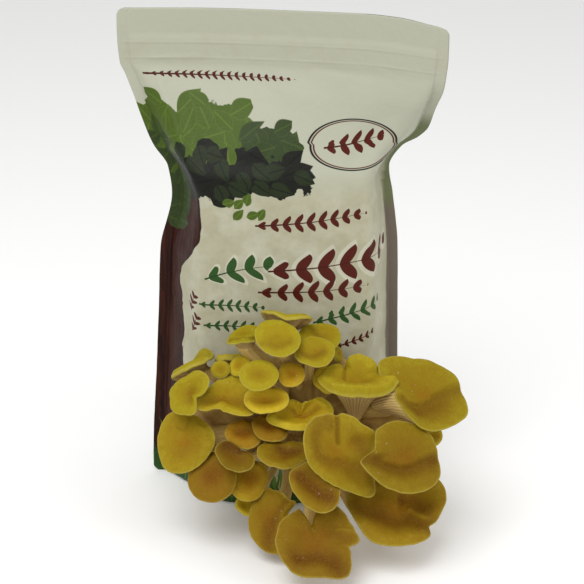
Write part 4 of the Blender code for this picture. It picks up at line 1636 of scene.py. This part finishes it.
        polar = np.stack([spread[0] * np.cos(angle), spread[0] * np.sin(angle), spread[1]], -1)
        line = np.concatenate([
            np.full((len(shares) + len(roll), columns), 0.5),
            0.5 - 0.5 * lined * smooth_step(1.2, 0.5, w)[:, None],
            np.full((len(stem_share), columns), 0.5),
        ])
        grid, around = np.meshgrid(shares, angle, indexing="ij")
        # The grooves' stain and painted shade, and below zero painted highlight, on the cap's top
        # only.
        dent = np.clip(self.dents(grid, around)[1], -0.8, 1.3)
        valley_stain_and_shade = np.concatenate([dent, np.zeros((len(line) - len(shares), columns))])
        return {"points": np.concatenate(rings), "polar": polar, "zone": spread[2],
                "gill": line, "valley_stain_and_shade": valley_stain_and_shade}

    def build(self, index: int, base: StemBase, flesh: bpy.types.Material) -> bpy.types.Object:
        """Shapes the mushroom from a sphere's rings, and dresses it.

        Args:
            index: Number that sets this mushroom's own waves.
            base: The fused base that it grows from.
            flesh: The flesh's material.

        Returns:
            The finished mushroom.
        """
        self.phase = 0.7 * index
        columns = self.gills * (4 if self.gills > 36 else 6)
        counts = LARGE_RINGS if max(self.rim) > LARGE_CAP else SMALL_RINGS
        made = self.surface(base, columns, counts)
        ring_count = made["points"].shape[0]
        piece = add_ball("oyster_" + self.name, columns, ring_count - 1)
        ball = read_vertices(piece)
        turn = np.arccos(np.clip(ball[:, 2], -1.0, 1.0)) / math.pi
        ring = np.rint(turn * (ring_count - 1)).astype(int)
        column = np.rint(np.arctan2(ball[:, 1], ball[:, 0]) / (2 * math.pi) * columns).astype(int)
        column %= columns
        points = made["points"][ring, column]
        foot = ring == ring_count - 1
        points[foot] = made["points"][-1].mean(axis=0)
        write_vertices(piece, points)
        # The grooves' stain and painted shade go onto the mesh as an attribute.
        for name in ("polar", "zone", "gill", "valley_stain_and_shade"):
            write_attribute(piece, name, made[name][ring, column])
        # tone is the cap's own hue; light is painted light, and below zero painted shade, over the
        # whole cap.
        for name in ("tone", "light"):
            write_attribute(piece, name, np.full(len(points), getattr(self, name)))
        return hand_over(piece, flesh, "mushroom_flesh", "mushroom_" + self.name)


# Each groove: its line, half width and depth, how much darker it is painted (stain with painted
# shade in the dent, below zero a painted highlight on the ridge), and fade.
GROOVES: dict[str, tuple[Groove, ...]] = {
    "front_large": (
        Groove(((0.01, 1.15), (-0.01, 0.62), (-0.02, 0.3)), 0.05, 1.3, 1),
        Groove(((-0.11, 0.92), (-0.13, 0.68)), 0.03, 0.4, 0.5),
        Groove(((-0.39, 0.7), (-0.55, 0.38), (-0.59, 0.01), (-0.27, -0.24), (0.14, -0.2), (0.48,
            -0.38), (0.69, -0.58)), 0.15, 1.5, 0.7, 0.7),
        Groove(((0.47, 0.33), (0.76, 0.02)), 0.2, 0.8, 0.7),
        Groove(((-0.24, 1.01), (-0.18, 0.63)), 0.1, 0.2, 0.45),
        Groove(((0.17, 0.64), (0.1, 0.31), (0.24, -0.04)), 0.16, -0.8, -0.45),
    ),
    "right_large": (
        Groove(((-1.14, 0.08), (-0.82, 0.07), (-0.51, -0.06), (-0.34, -0.23), (-0.07, -0.34), (0.26,
            -0.31), (0.61, -0.24), (0.99, -0.2)), 0.12, 3, 0.85, 0.7),
        Groove(((0.01, 0.3), (0.43, 0.22)), 0.25, -1, 0.12),
        Groove(((0.83, -0.1), (0.67, -0.63)), 0.15, 0.3, 0.25),
    ),
    "lower_right": (
        Groove(((-0.75, 0.09), (-0.56, -0.01), (-0.33, -0.1), (-0.04, -0.25), (0.24, -0.18), (0.5,
            -0.3), (0.86, -0.38)), 0.17, 2.6, 0.95, 0.5),
        Groove(((0.17, 0.34), (0.48, 0.08), (0.74, -0.02)), 0.15, 1.6, 0.85),
        Groove(((0.25, 0.05), (0.49, -0.1), (0.74, -0.24)), 0.05, -1.6, -0.75),
        Groove(((0.13, 0.52), (0.14, 0.3), (0.07, 0.07)), 0.05, 0.7, 0.25),
        Groove(((-0.22, 0.3), (-0.08, 0.22)), 0.14, -1, -0.2),
        Groove(((-0.41, 0.32), (-0.31, 0.09)), 0.2, 0.2, 0.3),
    ),
    "bottom_front": (
        Groove(((-0.45, -0.45), (-0.12, -0.43), (0.15, -0.4), (0.36, -0.45), (0.46, -0.6)), 0.22,
            1.5, 1.05, 0.3),
        Groove(((0.43, 0.26), (0.78, 0.06)), 0.16, 0.6, 0.5),
        Groove(((0.14, 0.09),), 0.22, -1, 0.05),
        Groove(((-0.7, -0.24), (-0.5, -0.51)), 0.14, 0.3, 0.25),
        Groove(((-0.35, 0.27), (-0.49, -0.07)), 0.15, 0.3, 0.3),
        Groove(((0.53, 0.32), (0.84, 0.31)), 0.03, -0.8, -0.9),
    ),
    "bottom_left": (
        Groove(((0.39, 0.11), (0.12, -0.35), (0.1, -0.78)), 0.26, 1, 0.9),
        Groove(((0.55, 0.74), (0.39, 0.46)), 0.12, 0.6, 0.6),
        Groove(((0.35, 0.96), (0.69, 0.78)), 0.06, -0.8, -0.3),
    ),
    "front_low": (
        Groove(((-0.54, 0.38), (-0.22, -0.02), (0.19, -0.26), (0.51, -0.37)), 0.36, 1.3, 1.25),
    ),
    "lower_middle": (
        Groove(((-0.08, 0.55), (0.26, 0.19), (0.57, 0.24)), 0.3, 1.1, 1.2),
        Groove(((0.36, 0.44), (0.65, 0.43)), 0.12, -0.8, -0.1),
    ),
    "folded": (
        Groove(((-0.36, 0.31), (-0.09, 0.05), (0.12, -0.01), (0.32, 0.06), (0.57, 0.2)), 0.08, 1,
            0.8, 0.4),
        Groove(((0.04, -0.74), (0.42, -0.4)), 0.14, -0.3, 0),
    ),
    "middle": (
        Groove(((-0.85, 0.08), (-0.15, -0.07), (0.6, 0.05)), 0.17, 0.9, 0.5, 0.6),
    ),
    "middle_top": (
        Groove(((0.07, -0.06),), 0.34, 0.5, 0.3),
        Groove(((-0.05, 0.77), (0.49, 0.53)), 0.3, -0.2, -0.3),
    ),
    "top_front": (
        Groove(((-0.73, -0.36), (-0.09, -0.58), (0.54, -0.25)), 0.2, 0.5, 0.55, 0.3),
        Groove(((-0.19, -0.09),), 0.3, 0.2, 0.25),
        Groove(((-0.25, 0.3), (0.09, 0.36)), 0.3, -0.3, -0.3),
    ),
    "top_right": (
        Groove(((-0.68, -0.13), (-0.19, -0.36), (0.4, -0.1)), 0.18, 0.7, 0.7, 0.5),
        Groove(((-0.12, 0.37),), 0.25, -0.3, -0.2),
    ),
    "top_right_back": (
        Groove(((-0.34, 0.58), (-0.12, 0.11), (0.27, -0.47)), 0.18, 0.7, 0.55),
    ),
    "middle_orange": (
        Groove(((-0.01, -0.05),), 0.4, 0.5, 0.3),
    ),
    "middle_left": (
        Groove(((-0.64, -0.38), (-0.35, -0.23), (-0.09, -0.19), (0.32, -0.19), (0.65, -0.29)), 0.16,
            1.3, 0.7, 0.5),
        Groove(((0.02, 0.42), (0.44, 0.53)), 0.22, -0.8, -0.35),
    ),
    "left_upper": (
        Groove(((0.11, 0.12), (0.19, -0.26)), 0.22, 0.9, 0.5),
        Groove(((0.47, 0.75), (0.67, 0.35)), 0.1, -1.2, -0.2),
    ),
    "left_large": (
        Groove(((-0.3, 0.37), (-0.15, 0.33), (-0.06, 0.52), (-0.01, 0.88)), 0.05, 0.5, 0.35),
        Groove(((-0.12, -0.33), (0.44, -0.2)), 0.3, 0.3, 0.3),
        Groove(((0.73, 0.28), (0.81, 0.19)), 0.05, -0.5, 0.4),
        Groove(((0.38, 0.66), (0.57, 0.57)), 0.04, -0.5, 0.35),
        Groove(((-0.21, 0.21),), 0.25, -0.3, -0.2),
    ),
    "inner_left": (
        Groove(((-0.23, 0.09), (0.37, 0.14)), 0.25, 0.8, 0.7, 0.3),
    ),
    "inner": (
        Groove(((-0.53, 0.39), (0.02, 0.15)), 0.22, 0.7, 0.6, 0.4),
    ),
    "lower_slanted": (
        Groove(((-0.37, 0.62), (0.28, 0.67), (0.88, 0.75)), 0.42, 0.9, 1.25),
    ),
    "lower_left": (
        Groove(((0.02, 0.04),), 0.35, 0.4, 0.5),
    ),
    "lower_inner": (
        Groove(((-0.16, 0.35), (0.31, 0.24)), 0.25, 0.8, 0.6, 0.5),
    ),
    "far_right": (
        Groove(((-0.75, -0.13), (-0.56, -0.34), (-0.23, -0.4), (0.04, -0.29), (0.27, -0.15), (0.59,
            -0.07), (0.99, 0.02)), 0.1, 2.4, 0.75, 1.2),
        Groove(((-0.3, -0.62), (0.02, -0.61), (0.32, -0.48)), 0.26, 0.6, 0.5),
        Groove(((0.18, 0.42), (0.56, 0.4)), 0.3, -0.8, 0),
    ),
    "funnel": (
        Groove(((-0.5, 0.9), (-0.467, 0.556), (-0.4, 0.23), (-0.31, 0), (-0.3, -0.12)), 0.04, 1.4,
            0.8),
        Groove(((0, -0.2), (0.3, -0.15)), 0.2, 0.5, 0.3),
        Groove(((-0.55, 0.25),), 0.16, -1.2, -0.2),
    ),
    "left_bud": (
        Groove(((0.16, -0.33),), 0.5, 0.3, 0.35),
    ),
    "left_bud_upper": (
        Groove(((-0.11, 0.01),), 0.5, 0.2, 0.15),
    ),
    "behind_funnel": (
        Groove(((-0.34, 0.24), (0.08, -0.45)), 0.3, 0.5, 0.2),
    ),
    "lower_small": (
        Groove(((0.43, 0.28),), 0.5, 0.3, 0.1),
    ),
    "right_hidden": (
        Groove(((0.47, -0.39),), 0.5, 0.3, 0.4),
    ),
    "top_left": (
        Groove(((-0.75, -0.49), (-0.15, -0.76), (0.63, -0.52), (0.94, -0.21)), 0.1, 0.7, 0.7),
    ),
}

# tone sets each cap's own hue; light paints light onto the cap, and below zero paints shade.
MUSHROOMS = (
    Mushroom("top_back", (5, -58, 129.9), 0, 130, (15, 13, 12, 13, 15.5, 13, 12, 13), lift=(3.5, 1,
        0, 2, 7, 4, -1, 1), cup=1, curl=3.2, root=(2, 0), thickness=2.8, bead=0.8, tone=1.3,
        light=-0.06),
    Mushroom("top_front", (0, -82, 129), 0, 58, (12.9, 12.1, 11.6, 12.3, 14.1, 14.6, 13.3, 12.4,
        12.5, 13.2, 13.9, 13.6), cup=-0.5, tone=1.4, light=-0.08),
    Mushroom("top_left", (-20, -72, 127), -12, 72, (10, 10.5, 8, 7, 10, 10, 6, 7), lift=(0, 1, 1, 0,
        -3, -1, 0, 0), curl=2.4, stem_radius=4.8, drop=6, tone=1.9, light=-0.23),
    Mushroom("top_right_back", (25, -62, 120), 15, 62, (12.3, 13.4, 12.1, 11.1, 12.7, 13.2, 12.4,
        12.6, 12.2, 10.9, 10.7, 11.1), tone=1.2, light=-0.15),
    Mushroom("top_right", (21, -82, 120), 5, 60, (11.8, 11.9, 11.2, 11.1, 10.9, 11, 11.9, 11.6,
        10.5, 11, 11.4, 11.3), stem_at=(120, 0.3), root=(-2, 0), tone=1, light=-0.1),
    Mushroom("top_right_small", (36, -62, 109), 60, 20, (4.5, 5, 4.5, 4.5, 5, 4.5), thickness=1.6,
        stem_radius=1.8, tone=1.1, light=-0.12),
    Mushroom("left_back", (-51.5, -60, 102), -130, 49, (13, 12, 13, 14, 15, 14, 13, 14.5), lift=(2,
        1, 0, 1.5, 9, 4, 0, 2.5), cup=0.5, curl=3.6, stem_at=(180, 0.6), drop=8, stem_radius=4,
        root=(2, -4), thickness=2.8, bead=0.8, tone=1.5, light=-0.15),
    Mushroom("left_back_edge", (-30, -56, 106), 0, 118, (9, 7, 6, 7, 8, 7, 6, 7), lift=(2, 1, 0, 0,
        0, 0, 0, 0), curl=2.4, stem_radius=2.4, thickness=2.8, bead=0.8, tone=1.2),
    Mushroom("left_bud", (-34, -73, 104.5), -15, 40, (6, 5.5, 5.5, 6, 5.5, 5.5), thickness=1.8,
        stem_radius=2, root=(-2, 0), tone=1.1),
    Mushroom("left_bud_upper", (-23, -72, 106), -10, 45, (6, 7.5, 6, 6, 6.5, 6), thickness=1.8,
        stem_radius=2.2, tone=1, light=0.36),
    Mushroom("middle_top", (-11, -94, 111), 0, 55, (11.5, 11.1, 10.4, 10.1, 10.3, 10.8, 11.2, 11,
        10.7, 10.5, 10.4, 11), cup=-0.5, stem_at=(90, 0.45), tone=1.2, light=-0.04),
    Mushroom("middle_orange", (8, -82, 106), 5, 50, (7.6, 7.6, 7.5, 7.6, 8, 8, 7.9, 8.6, 8.8, 8.2,
        7.8, 7.7), cup=-0.5, stem_radius=2.6, root=(2, 0), tone=-0.3, light=0.8),
    Mushroom("left_upper", (-52, -85, 94.5), -30, 40, (9.5, 12.2, 13.9, 15.2, 15.3, 14.9, 14.8,
        13.4, 11.6, 11.4, 11.7, 12.3, 13, 12.8, 12.5, 13.4, 13.9, 13.6, 13.1, 13.1, 13.9, 13.1, 9.3,
        7.3), lift=(3, 3, 1, 0, 0, 0, 0, 0, 0, 0, 1, 2), stem_at=(240, 0.05), root=(-26, -4),
        tone=1.2, light=-0.09),
    Mushroom("middle_left", (-31, -82, 92), -5, 62, (18, 17.3, 16.7, 16, 14.9, 13.3, 13.2, 13.2,
        11.7, 10.3, 9.2, 9.6, 10, 10.3, 10.6, 10.8, 11.1, 11.2, 11.5, 14, 16.7, 18.4, 18, 15.5,
        11.2, 9.9, 9.3, 10.4, 11.5, 13.8, 16.5, 19.1, 21.5, 21.6, 20.2, 19), lift=(0, 1, 3, 4, 3, 1,
        2, 2, 0, -1, 1, 1), cup=1, curl=1.5, stem_radius=4, stem_at=(90, 0.2), root=(-2, 6),
        tone=0.7, light=0.18),
    Mushroom("middle", (-7, -90, 93), 0, 62, (13.3, 13.1, 10.5, 8.7, 10.6, 12.9, 12.8, 11.5, 10.2,
        9.1, 9.5, 11.5), cup=0.5, curl=1.5, stem_at=(120, 0.5), root=(-8, 0), tone=0.4, light=0.79),
    Mushroom("behind_funnel", (28, -74, 97.5), -20, 50, (8, 9, 10.5, 9, 6.5, 8.5), stem_at=(90,
        0.25), stem_radius=2.4, root=(2, 0), tone=0.3, light=0.8),
    Mushroom("funnel", (45, -84, 105), 0, 80, (24.5, 20.5, 18.8, 17.1, 16.3, 15.7, 15.1, 14.6, 14.2,
        14.1, 14.1, 14.1, 13.4, 14.1, 15.5, 17.5, 19.5, 21.2, 22.5, 21.7, 19.8, 18.5, 17.2, 16.1,
        15.2, 14.4, 14, 13.8, 13.7, 14.3, 14.8, 15.5, 16.8, 18.3, 20.3, 22.6), lift=(-12, -15.4,
        -16.8, -16.4, -10.5, -7.9, -6.9, -6.2, -5.7, -6, -6.7, -8.1, -12.7, -11.2, -9.3, -8.8, -9.3,
        -10.1, -10.3, -10.2, -10.6, -10.7, -10.7, -10.5, -10.3, -10.1, -10.1, -10, -10.2, -10.7,
        -11.4, -12, -12.8, -13.4, -13.5, -13.1), cup=12, curl=7, curl_from=0.84, curl_at=270,
        cone=1, dimple=5, drop=22, gills=28, stem_radius=3.6, root=(-8, -6), tone=0.9),
    Mushroom("far_right", (83, -84, 93.5), 15, 52, (24.7, 24.8, 24.6, 24, 23.1, 22.8, 22.7, 23, 23,
        23.2, 25.3, 28, 29.9, 31.3, 28.9, 26.3, 22, 16.4, 16.9, 17.4, 17.9, 18.5, 19.3, 20.1, 21.3,
        23, 24.1, 24.7, 25.1, 25.3, 26, 27, 28.5, 28.1, 26.5, 25.1), lift=(0, 0, 0, 0, 0, 1, 3, 5,
        3, 1, 0, 0), cup=3, curl=2, thickness=3, stem_at=(166, 1.05), drop=13, stem_radius=8,
        root=(4, -4), cone=1, tone=0.4, light=-0.12),
    Mushroom("folded", (12, -84, 80), 0, 70, (20.1, 20.1, 19.4, 18, 16.1, 8.2, 7, 5.4, 6.8, 8.3,
        8.9, 8.6, 8.5, 8.9, 9.9, 12.6, 15, 16.6, 17.8, 19.5, 18.7, 16.9, 15.7, 14.7, 14, 13.4, 12.9,
        13, 13, 13.2, 15.3, 17, 18.1, 19, 19.5, 19.4), lift=(1, 3, 5, 2, 5, 3, 1, 0, 0, 0, 0, 0),
        cup=5, curl=4, stem_radius=4, tone=0.55, light=0.58),
    Mushroom("left_large", (-54, -88, 65), -15, 38, (16.6, 17.2, 17.1, 16.3, 16, 16.3, 17, 18.5,
        20.6, 21.2, 19.9, 18.7, 18.4, 18, 18.1, 19.2, 20.1, 19.6, 18.5, 17.5, 16.6, 15.9, 15.6,
        15.9), lift=(0, 0, 0, -1, 0, 0, 0, 0, 0, 0, 0, 0), cup=-1, curl=1.5, thickness=2.8,
        stem_at=(45, 0.3), stem_radius=8, drop=8, root=(-2, -2), tone=0.15, light=0.09),
    Mushroom("inner_left", (-21, -89, 71), 0, 60, (11.1, 10.5, 10.5, 10.1, 10.1, 10.6, 10.2, 9, 8.7,
        9.6, 11.1, 11.8), cup=-0.5, root=(-4, 4), tone=-1.25, light=0.51),
    Mushroom("inner", (-5, -90, 75), 0, 60, (10.4, 9.9, 9.4, 9.4, 11.1, 11.7, 9.8, 8.9, 8.7, 8.5,
        9.9, 11.1), cup=-0.5, stem_at=(120, 0.15), root=(-2, 4), tone=-1.2, light=0.28),
    Mushroom("lower_slanted", (-25, -104, 62.5), -5, 58, (11.7, 9.6, 7.5, 9.5, 14.1, 13.9, 9.9, 8.1,
        7.8, 8, 10, 11.9), cup=1, curl=1.5, stem_at=(90, 0.05), tone=-0.85, light=-0.22),
    Mushroom("lower_middle", (2, -104, 64), 0, 70, (14.8, 16.4, 13.8, 11.5, 13.6, 15.5, 13.7, 10.8,
        9.1, 9.3, 10.5, 12), cup=1, curl=1.5, root=(-2, 2), tone=-0.35, light=-0.04),
    Mushroom("front_large", (35, -114, 69.5), 10, 33, (19, 20.4, 22, 23.2, 23.8, 22.6, 21.8, 21.5,
        22.2, 22.8, 23.2, 23.7, 22.6, 24.3, 24.6, 25.3, 26, 25.8, 25.5, 24.6, 23.6, 22.4, 21.5,
        20.6, 19.9, 19.4, 18.8, 18.2, 17.6, 17, 17, 17, 17, 17.5, 18, 18.5, 19.8, 21.1, 23.2, 25.9,
        29, 29.3, 26.9, 23.8, 21.7, 19.6, 19.2, 18.8), lift=(1, 1, 2, 3, 0, 1, 3, 2, 1, 0, 0, 0, 0,
        -1, -3, -1), cup=4, curl=2.5, thickness=3, stem_at=(90, 0.3), stem_radius=6, root=(4, 2),
        tone=-0.05),
    Mushroom("right_large", (69, -117, 70), 20, 42, (23.3, 23.2, 23.9, 23.7, 23.2, 22.5, 22.1, 22,
        21.9, 21.5, 20.8, 20.6, 20.2, 18.2, 16.6, 16.2, 16.8, 21, 25.8, 25.5, 24.1, 22.8, 22.1,
        21.8, 21.7, 21.9, 22.1, 22.4, 22.8, 23.4, 24, 24.7, 25, 24.3, 23.9, 23.6), lift=(0, -1, -1,
        -1, -1, -1, 0, 3, 7, 6, 4, 4, 4, 3, 2, 1), cup=2, curl=2, thickness=3, stem_at=(30, 0.3),
        stem_radius=6, root=(6, -2), tone=-0.4, light=-0.12),
    Mushroom("lower_right", (68, -112, 32), 5, 58, (27.3, 29.2, 30.8, 32.1, 32.8, 32.7, 30.1, 27.1,
        25.7, 24.5, 23.7, 23.1, 23, 23.4, 24.2, 25, 25.8, 26.7, 27.5, 28.4, 29.5, 29.9, 29.6, 28.3,
        26.7, 25.8, 25, 24.8, 24.6, 24.7, 24.7, 24.3, 23.6, 22.9, 22.8, 22.7, 22.6, 22.5, 22.5,
        22.7, 22.9, 23.3, 23.6, 23.1, 21.6, 20.3, 23.4, 25.4), lift=(4, 3, 2, 1, 0, 0, 1, 2, 2, 2,
        1, 1, 2, 1, -1, -2), cup=3, curl=3, thickness=3, stem_at=(155, 0.8), stem_radius=5,
        root=(-2, 0), tone=-0.55, light=0.15),
    Mushroom("right_hidden", (89, -87, 69), 20, 45, (7.5, 7.5, 7, 7.5, 7.5, 7), thickness=1.8,
        stem_at=(30, 0.15), stem_radius=2.4, tone=0.8, light=0.16),
    Mushroom("lower_left", (-39, -99, 48.5), -12, 42, (14.8, 14.4, 14.7, 15, 14.7, 14.3, 14.3, 14.8,
        15.2, 15.3, 15.6, 15.5), cup=-1, curl=1.5, tone=-1.2, light=0.09),
    Mushroom("lower_inner", (-17, -96, 44), 0, 42, (10.7, 12.5, 13, 12.3, 11.9, 11.4, 11.5, 12.3,
        12.4, 12.1, 11.4, 10.3), cup=-1, curl=1.5, stem_at=(150, 0.25), root=(8, 4), tone=-0.5,
        light=0.56),
    Mushroom("lower_small", (-20, -89.5, 24), -5, 50, (6.5, 7, 7, 6, 5, 7), cup=-0.5, thickness=1.8,
        stem_at=(240, 0.05), stem_radius=2.2, tone=1, light=0.5),
    Mushroom("bottom_left", (-6, -108, 25), -15, 38, (12, 11.7, 11.6, 13.1, 18.7, 17, 16.8, 17.4,
        17.5, 17.4, 18.7, 16.6, 15.1, 14.2, 13.8, 13.4, 13, 12.5, 12.3, 12.3, 12.4, 12.8, 13.4, 14,
        14.8, 15.6, 16.9, 18.1, 19.4, 20.6, 20.9, 18.4, 15.7, 14, 13, 12.4), lift=(-2, 0, 1, 2, 0,
        0, 0, 0, 0, 0, 0, -1), curl=2, stem_at=(60, 0.5), stem_radius=4, root=(-8, -16), tone=-0.65,
        light=0.12),
    Mushroom("front_low", (21, -123, 54.5), 0, 48, (13.8, 13.2, 12.4, 12.4, 12.6, 12.8, 14.4, 15.5,
        14.8, 15.2, 16.3, 15.5, 14, 13.3, 12.6, 12.4, 12.9, 13.7, 15.1, 16.4, 16.7, 16.4, 15.6,
        14.4), lift=(0, 0, 0, 1, 2, 3, 3, 3, 2, 1, 0, 0), cup=2, curl=2, stem_at=(260, 0.05),
        stem_radius=3.6, root=(-4, 4), tone=-0.6),
    Mushroom("bottom_front", (21, -135.5, 25.5), 0, 55, (24.4, 24.8, 23.8, 23.4, 23.2, 23.7, 24.4,
        24.6, 24.6, 23.1, 21.7, 20.4, 18, 11.3, 11.6, 21.6, 22.2, 22.2, 22.2, 22.8, 23.2, 22.8,
        22.6, 22.7, 22.6, 22.2, 21.9, 21.8, 21.6, 21.4, 21.6, 22, 22.1, 21.9, 21.4, 21, 20.9, 21.6,
        22.2, 23.7, 25.5, 26.8, 26.8, 25.2, 23.2, 21.5, 20.5, 19.6), lift=(0, 1, 1, 2, 0, 1, 2, 1,
        0, 0, 0, 0, 0, 1, 1, 0), cup=4, curl=3, thickness=3, stem_at=(97, 0.3), stem_radius=5.5,
        root=(0, -10), tone=-1),
)


@dataclass(frozen=True)
class SubstrateFinish:
    """Crumbly straw and sawdust with white threads grown through it."""

    straw: Colour = tint(150, 118, 74)
    dark: Colour = tint(78, 54, 34)
    white: Colour = tint(214, 208, 192)
    roughness: float = 0.9
    crumb: float = 0.002

    def material(self) -> bpy.types.Material:
        """Builds the substrate's material."""
        made, g, shader = new_material("grown_substrate")
        solid = g.solid()
        crumb = g.steps(g.cloud(solid, 300.0, 5.0), 0.3, 0.7)
        web = g.steps(g.cloud(solid, 90.0, 6.0), 0.4, 0.62)
        straw = g.mix(crumb, self.dark, self.straw)
        g.feed(shader.inputs["Base Color"], g.mix(web, straw, self.white))
        shader.inputs["Roughness"].default_value = self.roughness
        add_bump(g, shader, crumb, self.crumb)
        return made


@dataclass(frozen=True)
class ZipFinish:
    """Milky plastic of the press-to-close zip."""

    milky: Colour = tint(220, 220, 212)
    shade: Colour = tint(196, 198, 190)
    roughness: float = 0.4
    rib: float = 0.0002

    def material(self) -> bpy.types.Material:
        """Builds the zip's material, with the fine ribs of its track."""
        made, g, shader = new_material("zip_plastic")
        solid = g.solid()
        _, _, height = g.split(solid)
        rib = g.math("PINGPONG", height * (1.0 / MM), 1.0)
        g.feed(shader.inputs["Base Color"], g.mix(rib, self.shade, self.milky))
        shader.inputs["Roughness"].default_value = self.roughness
        add_bump(g, shader, rib, self.rib)
        return made


@dataclass
class Studio:
    """Pale floor, soft light and the camera at the photograph's viewing angle."""

    target: tuple[float, float, float] = (0.0079, 0.0, 0.1243)
    distance: float = 0.9
    elevation: float = 21.0
    lens: float = 88.9
    sensor: float = 36.0
    sky: float = 0.75
    floor_size: float = 12.0
    floor_colour: Colour = (0.93, 0.93, 0.92)
    floor_shade: Colour = (0.8, 0.8, 0.79)
    floor_roughness: float = 0.9
    lamps: tuple[tuple[str, tuple[float, float, float], float, float], ...] = (
        ("top_lamp", (-0.4, -0.75, 1.5), 1.1, 15.0), ("fill_lamp", (1.1, -0.6, 0.8), 0.8, 3.0),
    )

    def floor(self) -> None:
        """Lays the floor."""
        bpy.ops.mesh.primitive_plane_add(size=self.floor_size)
        floor = bpy.context.object
        floor.name = "floor"
        made, g, shader = new_material("pale_floor")
        cloud = g.cloud(g.solid(), 2.0) * 0.04
        g.feed(shader.inputs["Base Color"], g.mix(cloud, self.floor_colour, self.floor_shade))
        shader.inputs["Roughness"].default_value = self.floor_roughness
        floor.data.materials.append(made)

    def lamp(self, name: str, place: tuple[float, float, float], size: float, power: float) -> None:
        """Hangs a soft square lamp that points at the object.

        Args:
            name: The lamp's name.
            place: Where it hangs.
            size: Its side in metres.
            power: Its power in watts.
        """
        data = bpy.data.lights.new(name, "AREA")
        data.size = size
        data.energy = power
        lamp = bpy.data.objects.new(name, data)
        bpy.context.scene.collection.objects.link(lamp)
        lamp.location = place
        way = Vector(self.target) - lamp.location
        lamp.rotation_euler = way.to_track_quat("-Z", "Y").to_euler()

    def light(self) -> None:
        """Sets the soft surrounding light and hangs the lamps."""
        world = bpy.data.worlds.new("studio")
        bpy.context.scene.world = world
        world.use_nodes = True
        background = world.node_tree.nodes["Background"]
        background.inputs["Color"].default_value = (1.0, 1.0, 1.0, 1.0)
        background.inputs["Strength"].default_value = self.sky
        for lamp in self.lamps:
            self.lamp(*lamp)

    def camera(self) -> None:
        """Places the camera and makes it the scene's."""
        data = bpy.data.cameras.new("camera")
        data.lens = self.lens
        data.sensor_width = self.sensor
        camera = bpy.data.objects.new("camera", data)
        bpy.context.scene.collection.objects.link(camera)
        rise = math.radians(self.elevation)
        back = Vector((0.0, -math.cos(rise), math.sin(rise)))
        camera.location = Vector(self.target) + back * self.distance
        camera.rotation_euler = (-back).to_track_quat("-Z", "Y").to_euler()
        bpy.context.scene.camera = camera

    def build(self) -> None:
        """Sets up floor, light and camera."""
        self.floor()
        self.light()
        self.camera()
        bpy.context.scene.view_settings.view_transform = "Standard"


def main() -> None:
    """Builds every piece in order, and sets up the studio."""
    logging.basicConfig(level=logging.INFO, format="%(message)s")
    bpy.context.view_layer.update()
    bpy.ops.object.select_all(action="DESELECT")
    Pouch().build()
    flesh = CapFinish().material()
    base = StemBase()
    base.build(flesh)
    for index, shroom in enumerate(MUSHROOMS):
        shroom.build(index, base, flesh)
    for node, finish in (("substrate_block", SubstrateFinish()), ("zip_strip", ZipFinish())):
        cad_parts[node].data.materials.clear()
        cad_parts[node].data.materials.append(finish.material())
    Studio().build()


if __name__ == "__main__":
    main()
